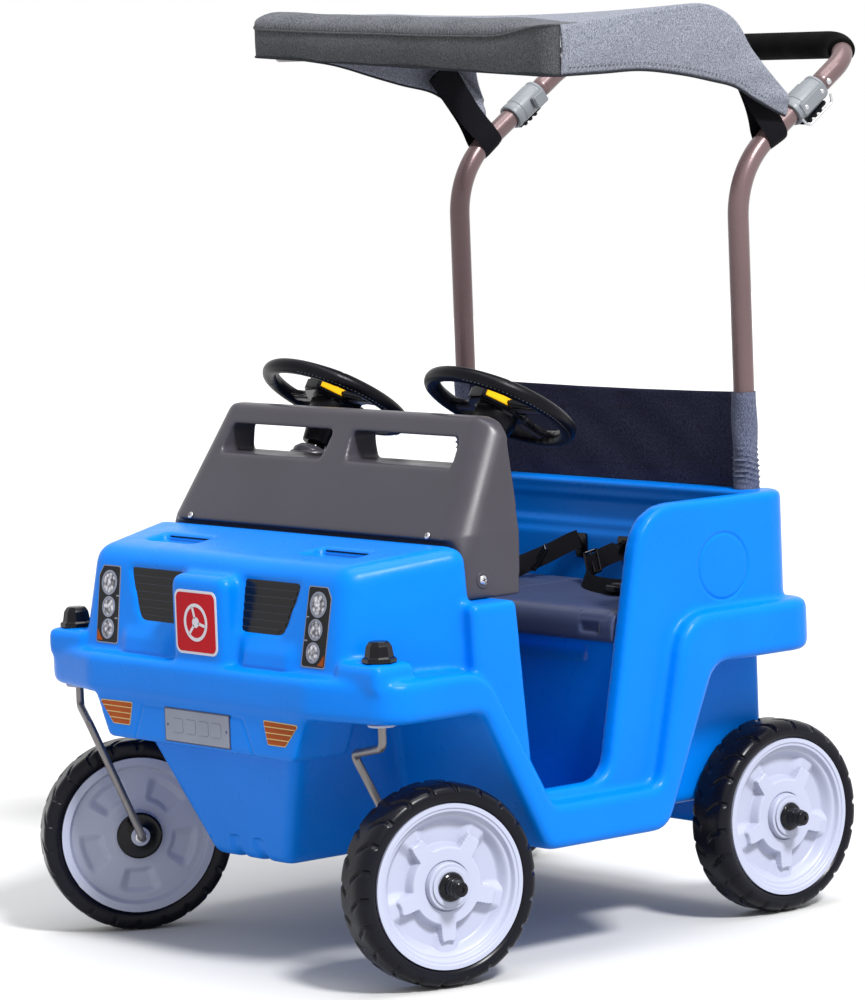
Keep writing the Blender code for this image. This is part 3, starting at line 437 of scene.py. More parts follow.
def slab(name, outline, matrix, low, high, edge=0.0004, segments=2):
    """Extruded 2-D outline in a local frame, with rounded edges."""
    bm = bmesh.new()
    face = bm.faces.new([bm.verts.new((a, b, low)) for a, b in outline])
    top = bmesh.ops.extrude_face_region(bm, geom=[face])["geom"]
    moved = [item for item in top if isinstance(item, bmesh.types.BMVert)]
    bmesh.ops.translate(bm, verts=moved, vec=(0.0, 0.0, high - low))
    bmesh.ops.recalc_face_normals(bm, faces=bm.faces)
    if edge:
        rim = [e for e in bm.edges if len(e.link_faces) == 2 and e.calc_face_angle() > math.radians(50.0)]
        bmesh.ops.bevel(bm, geom=rim, offset=edge, segments=segments, affect="EDGES", clamp_overlap=True)
    mesh = bpy.data.meshes.new(name)
    bm.to_mesh(mesh)
    bm.free()
    return place(link(bpy.data.objects.new(name, mesh)), matrix)


def join(name, parts):
    """One object out of several, keeping each part's material."""
    with bpy.context.temp_override(active_object=parts[0], selected_editable_objects=parts):
        bpy.ops.object.join()
    parts[0].name = name
    return parts[0]


def paint(obj, material, sharp=40.0):
    obj.data.materials.clear()
    obj.data.materials.append(material)
    obj.data.shade_smooth()
    obj.data.set_sharp_from_angle(angle=math.radians(sharp))
    return obj


def ride_group(name, parts, body, replaces=()):
    """Join painted parts into one piece of the car."""
    obj = join(name, parts) if len(parts) > 1 else parts[0]
    obj.name = name
    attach(obj, body)
    if replaces:
        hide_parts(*replaces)
    return obj


def skin_of(node, name, voxel, rounds):
    """Moulded skin over a CAD node: remeshed evenly, then its corners relaxed."""
    obj = link(bpy.data.objects.new(name, frame["nodes"][node].data.copy()))
    obj.data.transform(Matrix.Translation(-SET_DOWN))
    remesh = obj.modifiers.new("Remesh", "REMESH")
    remesh.mode = "VOXEL"
    remesh.voxel_size = voxel
    relax = obj.modifiers.new("Relax", "SMOOTH")
    relax.factor = 0.5
    relax.iterations = rounds
    return apply_modifiers(obj)


def refine(obj, keep, cuts=2):
    """Split the faces whose middle passes keep(), for finer detail there."""
    bm = bmesh.new()
    bm.from_mesh(obj.data)
    edges = {edge for face in bm.faces if keep(face.calc_center_median()) for edge in face.edges}
    bmesh.ops.subdivide_edges(bm, edges=list(edges), cuts=cuts, use_grid_fill=True)
    bm.to_mesh(obj.data)
    bm.free()
    return obj


def distance_to_line(a, b, corners):
    """Distance of 2-D points to a closed polyline."""
    best = np.full(a.shape, 1e9)
    pairs = list(zip(corners, corners[1:] + corners[:1]))
    for (a0, b0), (a1, b1) in pairs:
        length = (a1 - a0) ** 2 + (b1 - b0) ** 2
        t = np.clip(((a - a0) * (a1 - a0) + (b - b0) * (b1 - b0)) / length, 0.0, 1.0)
        best = np.minimum(best, np.hypot(a - a0 - t * (a1 - a0), b - b0 - t * (b1 - b0)))
    return best


# ---------------------------------------------------------------- body shell
SEAT_RIBS = ((0.512, 0.0025), (0.497, 0.0035), (0.469, -0.0035), (0.455, -0.0025))


def body_skin():
    obj = skin_of("body_shell", "body_skin", 0.0034, 9)
    quarter = (0.134, 0.439)
    refine(obj, lambda c: abs(c.x) > 0.300 and abs(math.hypot(c.y - quarter[0],
            c.z - quarter[1]) - 0.039) < 0.006)
    refine(obj, lambda c: c.y < -0.404 and abs(c.x) < 0.135 and 0.255 < c.z < 0.318, 1)
    points = coordinates(obj)
    x, y, z = points[:, 0].copy(), points[:, 1].copy(), points[:, 2].copy()
    outer = np.abs(x) > 0.300
    ring = np.exp(-((np.hypot(y - quarter[0], z - quarter[1]) - 0.039) / 0.0015) ** 2)
    points[:, 0] -= np.where(outer, np.sign(x) * 0.0016 * ring, 0.0)
    wall = (np.abs(y - 0.205) < 0.004) & (np.abs(x) < 0.279) & (z > 0.405)
    step = sum(depth * smoothstep(level - 0.004, level + 0.004, z) for level, depth in SEAT_RIBS)
    points[:, 1] -= np.where(wall, step, 0.0)
    dam = (y < -0.404) & (z < 0.318)
    panel = [(-0.104, 0.305), (0.084, 0.305), (0.104, 0.262), (-0.124, 0.262)]
    groove = np.exp(-(distance_to_line(x, z, panel) / 0.0016) ** 2)
    points[:, 1] += np.where(dam, 0.0012 * groove, 0.0)
    shelf = smoothstep(0.056, 0.080, np.abs(x)) * (1.0 - smoothstep(0.148, 0.172, np.abs(x)))
    shelf *= smoothstep(0.360, 0.366, z) * (1.0 - smoothstep(0.378, 0.398, z))
    points[:, 1] -= np.where((y < -0.375) & (z < 0.40), 0.0055 * shelf, 0.0)
    under_seat = (np.abs(y + 0.015) < 0.003) & (z < 0.350) & (z > 0.17) & (np.abs(x) < 0.27)
    bulge = np.cos(np.clip(x / 0.27, -1.0, 1.0) * math.pi / 2.0) * 0.002
    points[:, 1] += np.where(under_seat, bulge, 0.0)
    belly = (z < 0.150) & (y < -0.30)
    notch = np.exp(-((x - 0.022) / 0.008) ** 4) + np.exp(-((x + 0.022) / 0.008) ** 4)
    points[:, 2] += np.where(belly, 0.005 * notch * smoothstep(-0.30, -0.32, y), 0.0)
    move_vertices(obj, points)
    finish_piece(obj, BLUE, "car", ["body_shell"], 0)


def windshield_skin():
    obj = skin_of("windshield_dash", "windshield_skin", 0.0026, 14)
    points = coordinates(obj)
    top = points[:, 2].max()
    share = np.clip((points[:, 2] - top + 0.130) / 0.130, 0.0, 1.0)
    across = np.abs(points[:, 0])
    points[:, 0] -= np.sign(points[:, 0]) * 0.024 * share * smoothstep(0.180, 0.262, across)
    move_vertices(obj, points)
    finish_piece(obj, DASH, "car", ["windshield_dash"], 0)


def seat_skin():
    obj = skin_of("seat_lid", "seat_skin", 0.0022, 8)
    points = coordinates(obj)
    x, y, z = points[:, 0].copy(), points[:, 1].copy(), points[:, 2].copy()
    lip = (y < 0.010) & (z > 0.374)
    for sign in (-1.0, 1.0):
        tab = [(sign * 0.225, -0.019), (sign * 0.272, -0.019), (sign * 0.272, 0.004), (sign * 0.225, 0.004)]
        line = np.exp(-(distance_to_line(x, y, tab) / 0.0018) ** 2)
        points[:, 2] -= np.where(lip, 0.0012 * line, 0.0)
    top = (z > 0.398) & (y > 0.0)
    points[:, 2] -= np.where(top, 0.004 * np.exp(-((np.abs(x) - 0.145) / 0.075) ** 2)
                             * np.exp(-((y - 0.095) / 0.055) ** 2), 0.0)
    seam = np.exp(-(x / 0.003) ** 2)
    points[:, 2] -= np.where(top, 0.0015 * seam, 0.0)
    move_vertices(obj, points)
    finish_piece(obj, SEAT, "lid", ["seat_lid"], 0)


# ---------------------------------------------------------------- printed trim on the front
FASCIA_FOOT = Vector((0.0, -0.3994, 0.330))
FASCIA_TOP = Vector((0.0, -0.377, 0.482))


def fascia_matrix(x, z):
    """Frame on the sloping front face: local X across, Y up the slope, Z outwards."""
    up = (FASCIA_TOP - FASCIA_FOOT).normalized()
    out = Vector((1.0, 0.0, 0.0)).cross(up)
    share = (z - FASCIA_FOOT.z) / (FASCIA_TOP.z - FASCIA_FOOT.z)
    origin = FASCIA_FOOT.lerp(FASCIA_TOP, share) + Vector((x, 0.0, 0.0))
    return Matrix.Translation(origin) @ Matrix((Vector((1.0, 0.0, 0.0)), up, out)).transposed().to_4x4()


def upright_matrix(x, y, z):
    """Frame on an upright front face: local X across, Y up, Z outwards."""
    out = Vector((0.0, -1.0, 0.0))
    turn = Matrix((Vector((1.0, 0.0, 0.0)), Vector((0.0, 0.0, 1.0)), out)).transposed().to_4x4()
    return Matrix.Translation((x, y, z)) @ turn


def grown(outline, by):
    """Outline moved outwards from its middle by a distance, roughly."""
    middle = np.mean(np.array(outline), axis=0)
    half = np.max(np.abs(np.array(outline) - middle), axis=0)
    return [tuple(middle + (np.array(point) - middle) * (half + by) / half) for point in outline]


def headlight(side, sign):
    base = fascia_matrix(0.0, 0.3695)
    corners = [(0.1735, 0.0), (0.2160, 0.0), (0.2195, 0.080), (0.2120, 0.092), (0.1785, 0.092)]
    outline = rounded([(sign * a, b, 0.003) for a, b in corners], 3)
    parts = [paint(slab("rim", grown(outline, 0.0002), base, -0.0004, 0.0006, 0.0002), SILVER),
             paint(slab("face", grown(outline, -0.0014), base, 0.0002, 0.0009, 0.0002), STICKER)]
    lamps = ((0.1978, 0.0715, 0.0148), (0.1958, 0.0430, 0.0124), (0.1942, 0.0170, 0.0120))
    for a, b, radius in lamps:
        seat = base @ Matrix.Translation((sign * a, b, 0.0009))
        ring = [(radius * 0.80, 0.0), (radius * 0.80, 0.0007), (radius * 0.90, 0.0010), (radius, 0.0006),
                (radius, 0.0)]
        parts.append(paint(lathe("ring", ring, seat, 40), SILVER))
        dome = [(0.0, 0.0011), (radius * 0.4, 0.0010), (radius * 0.7, 0.0006), (radius * 0.81, 0.0001),
                (0.0, 0.0)]
        parts.append(paint(lathe("dome", dome, seat, 40), LAMP))
    for low, high in ((0.0295, 0.0312), (0.0560, 0.0577)):
        bar = [(sign * 0.1772, low), (sign * 0.1825, low), (sign * 0.1825, high), (sign * 0.1772, high)]
        parts.append(paint(slab("tick", bar, base, 0.0006, 0.0011, 0.0), SILVER))
    wedge = [(sign * 0.2140, 0.003), (sign * 0.2140, 0.016), (sign * 0.2090, 0.009), (sign * 0.2030, 0.003)]
    parts.append(paint(slab("amber", wedge, base, 0.0006, 0.0012, 0.0001), ORANGE))
    ride_group("headlight_sticker_" + side, parts, "car", ["headlight_" + side])


def grille(side, sign):
    base = fascia_matrix(0.0, 0.431)
    half = lambda shrink: rounded([(0.056 + shrink, 0.031 - shrink, 0.001),
                                   (0.163 - 1.3 * shrink, 0.031 - shrink, 0.002),
                                   (0.135 - shrink, -0.032 + shrink, 0.012),
                                   (0.056 + shrink, -0.032 + shrink, 0.001)], 4)
    mirror = lambda outline: [(sign * a, b) for a, b in outline]
    parts = [paint(slab("back", mirror(half(0.0006)), base, -0.0058, -0.0030, 0.0003), BLACK)]
    for index in range(7):
        b = -0.0265 + 0.0090 * index
        low_end, high_end = [0.135 + (h + 0.032) / 0.063 * 0.028 - 0.0035 for h in (b - 0.0028, b + 0.0030)]
        if index == 0:
            low_end, high_end = low_end - 0.009, high_end - 0.004
        bar = [(sign * 0.0575, b - 0.0028), (sign * low_end, b - 0.0028), (sign * high_end, b + 0.0030),
               (sign * 0.0575, b + 0.0030)]
        parts.append(paint(slab("bar", bar, base, -0.0040, -0.0024, 0.0008), BLACK))
        line = [(sign * 0.0580, b + 0.0024), (sign * (high_end - 0.0012), b + 0.0024),
                (sign * (high_end - 0.0010), b + 0.0029), (sign * 0.0580, b + 0.0029)]
        parts.append(paint(slab("line", line, base, -0.0026, -0.0021, 0.0), GRAY_LINE))
    ride_group("grille_panel_" + side, parts, "car", ["grille_" + side])


def badge():
    base = upright_matrix(0.0, -0.4075, 0.409)
    parts = [paint(slab("border", rectangle(0.0392, 0.0372, 0.0095, 6), base, -0.0004, 0.0007, 0.0002),
                   PAPER),
             paint(slab("field", rectangle(0.0362, 0.0342, 0.0075, 6), base, 0.0003, 0.0010, 0.0002), RED)]
    tilt = base @ Matrix.Rotation(math.radians(18.0), 4, "Z")
    ring = [(0.0180, 0.0008), (0.0180, 0.0013), (0.0220, 0.0013), (0.0220, 0.0008)]
    parts.append(paint(lathe("ring", ring, tilt, 56), PAPER))
    parts.append(paint(lathe("dot", [(0.0, 0.0013), (0.0062, 0.0013), (0.0062, 0.0008), (0.0, 0.0008)],
                             tilt, 32), PAPER))
    for turn in (90.0, 210.0, 330.0):
        arm = tilt @ Matrix.Rotation(math.radians(turn), 4, "Z")
        outline = [(0.005, -0.0017), (0.0185, -0.0017), (0.0185, 0.0017), (0.005, 0.0017)]
        parts.append(paint(slab("arm", outline, arm, 0.0008, 0.0013, 0.0), PAPER))
    ride_group("badge_sticker", parts, "car", ["front_badge"])


def number_plate():
    base = upright_matrix(0.0, -0.412, 0.287)
    parts = [paint(slab("border", rectangle(0.062, 0.020, 0.0015, 3), base, -0.0004, 0.0006, 0.0002), NAVY),
             paint(slab("field", rectangle(0.0604, 0.0184, 0.0010, 3), base, 0.0003, 0.0010, 0.0002), SILVER)]
    for a in (-0.036, -0.012, 0.012, 0.036):
        block = [(a - 0.0095, -0.0085), (a + 0.0095, -0.0085), (a + 0.0095, 0.0085), (a - 0.0095, 0.0085)]
        outer = rounded([(p, q, 0.0025) for p, q in block], 3)
        parts.append(paint(slab("panel", outer, base, 0.0006, 0.0013, 0.0003), SILVER))
    for a in (-0.0555, 0.0555):
        seat = base @ Matrix.Translation((a, 0.0, 0.0009))
        parts.append(paint(lathe("rivet", [(0.0, 0.0006), (0.0012, 0.0005), (0.0018, 0.0), (0.0, 0.0)],
                                 seat, 16), NAVY))
    ride_group("plate_sticker", parts, "car", ["number_plate"])


def fog_light(side, sign):
    base = upright_matrix(0.0, -0.412, 0.0)
    corners = [(0.131, 0.279), (0.163, 0.279), (0.1885, 0.306), (0.124, 0.307)]
    outline = rounded([(sign * a, b, 0.002) for a, b in corners], 3)
    parts = [paint(slab("border", outline, base, -0.0004, 0.0006, 0.0002), CREAM),
             paint(slab("field", grown(outline, -0.0012), base, 0.0003, 0.0009, 0.0002), ORANGE)]
    for b, inner, outer in ((0.3000, 0.1265, 0.1815), (0.2932, 0.1280, 0.1750), (0.2864, 0.1300, 0.1688)):
        line = [(sign * inner, b - 0.0005), (sign * outer, b - 0.0005), (sign * outer, b + 0.0005),
                (sign * inner, b + 0.0005)]
        parts.append(paint(slab("line", line, base, 0.0006, 0.0012, 0.0), CREAM))
    ride_group("fog_sticker_" + side, parts, "car", ["fog_light_" + side])


def hood_scoop_shade_strips():
    """A thin black strip at the back of each of the two hood scoops: painted shade for the shadowed rear wall
    of the scoop.
    """
    for side, sign in SIDES:
        outline = rectangle(0.0385, 0.0010, 0.0008, 3)
        turn = Matrix.Rotation(math.radians(90.0), 4, "X")
        matrix = Matrix.Translation((sign * 0.148, -0.2995, 0.4880)) @ turn
        obj = slab("hood_scoop_shade_" + side, outline, matrix, 0.0, 0.0012, 0.0004)
        # Black here is painted shade: the scoop's rear wall is the same blue plastic, only in shadow.
        finish_piece(obj, STICKER, "car")


# ---------------------------------------------------------------- wheels
ARM_STEP = 2.0 * math.pi / 5.0


def wheel_matrix(side, front):
    if not front:
        sign = 1.0 if side == "right" else -1.0
        centre, out = Vector((sign * 0.2625, 0.250, 0.125)), Vector((sign, 0.0, 0.0))
    else:
        joint = next(j for j in frame["joints"] if j["name"] == "front_wheel_spin_" + side)
        centre, out = Vector(joint["pos_m"]) - SET_DOWN, Vector(joint["axis"]).normalized()
    across = Vector((0.0, 0.0, 1.0)).cross(out)
    turn = Matrix((across, Vector((0.0, 0.0, 1.0)), out)).transposed().to_4x4()
    return Matrix.Translation(centre) @ turn


def hub_mesh():
    """Wheel centre as two height fields: a raised five-arm star outside, shallow pockets inside."""
    turns = np.linspace(0.0, 2.0 * math.pi, 340, endpoint=False)
    radii = np.concatenate([np.linspace(0.0055, 0.026, 10), np.linspace(0.0264, 0.0296, 16),
                            np.linspace(0.0304, 0.072, 66), np.linspace(0.0728, 0.0936, 44)])
    radius, turn = np.meshgrid(radii, turns, indexing="ij")
    phase = np.abs((turn + ARM_STEP / 2.0 + math.pi / 2.0) % ARM_STEP - ARM_STEP / 2.0)
    ear = 0.0640 + 0.0030 * np.clip(phase / 0.13, 0.0, 1.0) ** 2
    reach = 0.0455 + (ear - 0.0455) * np.exp(-(phase / 0.185) ** 6)
    star = 1.0 - smoothstep(-0.0030, 0.0036, radius - reach)
    ridge = (1.0 - smoothstep(0.10, 0.30, phase)) * smoothstep(0.045, 0.060, radius)
    dish = smoothstep(0.0690, 0.0800, radius)
    outer = 0.0050 + 0.0120 * star * (1.0 - 0.25 * dish)
    outer = np.maximum(outer, 0.0050 + 0.0070 * ridge)
    outer = np.maximum(outer, 0.0050 + 0.0118 * dish)
    outer += 0.0058 * smoothstep(0.0815, 0.0850, radius) + 0.0014 * smoothstep(0.0880, 0.0888, radius)
    outer -= 0.0022 * np.exp(-((radius - 0.0280) / 0.0006) ** 2)
    outer += 0.0060 * (1.0 - smoothstep(0.0262, 0.0276, radius))
    pocket_a = 1.0 - smoothstep(0.20, 0.42, phase)
    pocket_r = smoothstep(0.0400, 0.0480, radius) * (1.0 - smoothstep(0.0640, 0.0740, radius))
    inner = -0.0150 + 0.0050 * pocket_a * pocket_r
    inner -= 0.0085 * smoothstep(0.0800, 0.0850, radius)
    inner -= 0.0105 * (1.0 - smoothstep(0.0270, 0.0300, radius))
    inner = np.maximum(inner, -0.0255)
    outer = np.minimum(outer, 0.0245)
    front = np.stack([radius * np.cos(turn), radius * np.sin(turn), outer], axis=-1)
    back = np.stack([radius * np.cos(turn), radius * np.sin(turn), inner], axis=-1)
    obj = grid_object("hub_master", np.concatenate([front, back[::-1]]), True, True)
    return tidy_mesh(obj)


def tyre_mesh():
    """Hard glossy tread: wide blocks between thin curved steps that run in from both shoulders."""
    outer = [(0.0941, 0.0215), (0.0965, 0.0240), (0.0990, 0.0252), (0.1025, 0.0255), (0.1055, 0.0252),
             (0.1078, 0.0243), (0.1098, 0.0228), (0.1114, 0.0209), (0.1127, 0.0186), (0.1137, 0.0162),
             (0.1144, 0.0136)]
    middle = [(0.11535 - 0.9 * max(0.0, a - 0.003) ** 2 * 8.0, a) for a in np.linspace(0.0120, -0.0190, 25)]
    inner = [(0.1149, -0.0212), (0.1141, -0.0232), (0.1127, -0.0246), (0.1105, -0.0253), (0.1075, -0.0255),
             (0.1035, -0.0255), (0.0990, -0.0250), (0.0965, -0.0240), (0.0941, -0.0215)]
    profile = outer + middle + inner
    turns = np.linspace(0.0, 2.0 * math.pi, 720, endpoint=False)
    base_r = np.array([r for r, a in profile])[:, None]
    base_a = np.array([a for r, a in profile])[:, None]
    pitch = 2.0 * math.pi / 22.0
    side = np.sign(base_a + 0.0035)
    across = np.clip(np.abs(base_a + 0.0035) / 0.0240, 0.0, 1.0)
    centre = 0.5 * pitch * (side < 0) + 0.55 * pitch * (1.0 - across) ** 1.5
    phase = ((turns[None, :] - centre) % pitch) / pitch
    step = smoothstep(0.0, 0.05, phase) * (1.0 - smoothstep(0.05, 0.30, phase))
    fade = smoothstep(0.10, 0.35, across) * smoothstep(0.1035, 0.1085, base_r)
    radius = base_r - 0.0024 * step * fade
    axial = base_a - side * 0.0014 * step * fade * smoothstep(0.75, 1.0, across)
    points = np.stack([radius * np.cos(turns), radius * np.sin(turns), axial + 0.0 * radius], axis=-1)
    obj = grid_object("tyre_master", points, True, True)
    return tidy_mesh(obj)


def stamped(master, name, matrix, material, body, replaces):
    """A copy of a master mesh set in place."""
    obj = link(bpy.data.objects.new(name, master.data.copy()))
    place(obj, matrix)
    return finish_piece(obj, material, body, replaces, 30.0)


def axle_end(side, front, matrix):
    end = "front" if front else "rear"
    body = "caster_" + side if front else "car"
    flange = rounded([(0.0056, 0.0253, 0.0), (0.0160, 0.0253, 0.0010), (0.0160, 0.0278, 0.0010),
                      (0.0138, 0.0292, 0.0008), (0.0112, 0.0300, 0.0008), (0.0108, 0.0372, 0.0006),
                      (0.0100, 0.0376, 0.0003), (0.0097, 0.0388, 0.0002), (0.0100, 0.0396, 0.0003),
                      (0.0098, 0.0436, 0.0005), (0.0088, 0.0446, 0.0004), (0.0086, 0.0485, 0.0010),
                      (0.0066, 0.0498, 0.0008)], 3, False)
    profile = [(0.0, 0.0253)] + flange + [(0.0030, 0.0500), (0.0024, 0.0484), (0.0, 0.0482)]
    cap = lathe("%s_%s_end_cap" % (end, side), profile, matrix, 48)
    finish_piece(cap, BLACK, body, ["%s_%s_cap" % (end, side)])
    ring = rounded([(0.0166, 0.0246, 0.0), (0.0226, 0.0246, 0.0), (0.0222, 0.0253, 0.0004),
                    (0.0170, 0.0253, 0.0004)], 3)
    spin = "%s_wheel_%s" % (end, side)
    finish_piece(lathe("%s_%s_hub_ring" % (end, side), ring, matrix, 48), WHITE, spin)


def wheels():
    hub, tyre = hub_mesh(), tyre_mesh()
    for side in ("left", "right"):
        for front in (True, False):
            end = "front" if front else "rear"
            body = "%s_wheel_%s" % (end, side)
            matrix = wheel_matrix(side, front)
            stem = "%s_%s" % (end, side)
            stamped(tyre, stem + "_tread", matrix, TYRE, body, [stem + "_tyre"])
            stamped(hub, stem + "_star_hub", matrix, WHITE, body, [stem + "_hub"])
            axle_end(side, front, matrix)
    for master in (hub, tyre):
        bpy.data.objects.remove(master)
    span = [Vector((x, 0.250, 0.125)) for x in np.linspace(-0.3050, 0.3050, 60)]
    finish_piece(sweep("axle_rod", span, 0.005, 24), STEEL, "car", ["rear_axle"])


def caster(side, sign):
    body = "caster_" + side
    matrix = wheel_matrix(side, True)
    pivot = Vector((sign * 0.286, -0.371, 0.0))
    centre = matrix.translation
    outboard = (matrix.to_3x3() @ Vector((0.0, 0.0, 1.0))).normalized()
    up = Vector((0.0, 0.0, 1.0))
    corners = [(pivot + up * 0.3800, 0.0), (pivot + up * 0.284, 0.011),
               (pivot - outboard * 0.069 + up * 0.270, 0.010), (centre - outboard * 0.052, 0.009),
               (centre + outboard * 0.0430, 0.0)]
    path = []
    for index, (point, radius) in enumerate(corners):
        if radius == 0.0:
            path.append(point)
            continue
        before = (corners[index - 1][0] - point).normalized()
        after = (corners[index + 1][0] - point).normalized()
        reach = radius / math.tan(before.angle(after) / 2.0)
        start, end = point + before * reach, point + after * reach
        for step in range(13):
            t = step / 12.0
            path.append(start * (1 - t) ** 2 + point * 2 * t * (1 - t) + end * t ** 2)
    rod = sweep("fork_rod_" + side, path, 0.0048, 28, outboard)
    finish_piece(rod, STEEL, body, ["caster_rod_" + side])
    top = 0.3805
    dome = rounded([(0.0, top + 0.0240, 0.0), (0.0110, top + 0.0240, 0.003), (0.0148, top + 0.0185, 0.003),
                    (0.0168, top + 0.0070, 0.0015), (0.0198, top + 0.0050, 0.0015),
                    (0.0200, top + 0.0004, 0.0006), (0.0, top + 0.0004, 0.0)], 4, False)
    knob = lathe("knob_cap_" + side, dome, Matrix.Translation(pivot), 72, 9)
    finish_piece(knob, BLACK, body, ["caster_knob_" + side], 25.0)
    bottom = 0.312
    flange = rounded([(0.0056, bottom - 0.0035, 0.0), (0.0160, bottom - 0.0035, 0.0012),
                      (0.0160, bottom - 0.0003, 0.0008), (0.0092, bottom - 0.0003, 0.0),
                      (0.0092, top - 0.002, 0.0), (0.0056, top - 0.002, 0.0)], 3)
    bushing = lathe("bushing_" + side, flange, Matrix.Translation(pivot), 48)
    finish_piece(bushing, WHITE, "car", ["caster_bushing_" + side])
    disc = rounded([(0.0056, -0.0258, 0.0), (0.0280, -0.0258, 0.0006), (0.0280, -0.0276, 0.0008),
                    (0.0255, -0.0290, 0.0006), (0.0110, -0.0284, 0.0), (0.0100, -0.0290, 0.0004),
                    (0.0056, -0.0290, 0.0)], 3)
    plate = lathe("hub_disc_" + side, disc, matrix, 56)
    finish_piece(plate, BLACK, "front_wheel_" + side, ["front_%s_hub_plate" % side])
    ring = rounded([(0.0056, -0.0330, 0.0), (0.0115, -0.0330, 0.0006), (0.0115, -0.0350, 0.0006),
                    (0.0056, -0.0350, 0.0)], 3)
    washer = lathe("washer_" + side, ring, matrix, 40)
    finish_piece(washer, WHITE, body, ["front_%s_washer" % side])
    sleeve = rounded([(0.0052, -0.0350, 0.0), (0.0078, -0.0350, 0.0), (0.0072, -0.0388, 0.0008),
                      (0.0052, -0.0392, 0.0)], 3)
    finish_piece(lathe("washer_boss_" + side, sleeve, matrix, 32), BRIGHT, body)


# ---------------------------------------------------------------- steering wheels
STEERING_AXIS = Vector((0.0, math.sin(math.radians(31.0)), math.cos(math.radians(31.0))))


def steering_matrix(sign):
    """Frame at a steering wheel: X across, Y towards the rider, Z up its shaft."""
    across = Vector((1.0, 0.0, 0.0))
    turn = Matrix((across, STEERING_AXIS.cross(across), STEERING_AXIS)).transposed().to_4x4()
    return Matrix.Translation((sign * 0.153, -0.067, 0.637)) @ turn


def rim_mesh(name):
    turns = np.linspace(0.0, 2.0 * math.pi, 192, endpoint=False)
    around = np.linspace(0.0, 2.0 * math.pi, 28, endpoint=False)
    turn, ring = np.meshgrid(turns, around, indexing="ij")
    size = np.full_like(turn, 0.0092)
    for seam in (38.0, 142.0, 218.0, 322.0):
        gap = np.angle(np.exp(1j * (turn - math.radians(seam))))
        size -= 0.0007 * np.exp(-(gap / 0.014) ** 2)
        size += 0.0004 * np.exp(-(gap / 0.22) ** 2)
    stitch_line = np.exp(-((np.angle(np.exp(1j * (ring - math.pi)))) / 0.10) ** 2)
    size -= 0.0005 * stitch_line
    grips = 0.0005 * (0.5 + 0.5 * np.cos(turn * 40.0)) * np.clip(-np.cos(ring), 0.0, 1.0)
    size -= grips * (np.abs(np.sin(turn)) > 0.65)
    reach = 0.085 + size * np.cos(ring)
    points = np.stack([reach * np.cos(turn), reach * np.sin(turn), size * np.sin(ring)], axis=-1)
    return tidy_mesh(grid_object(name, points, True, True))


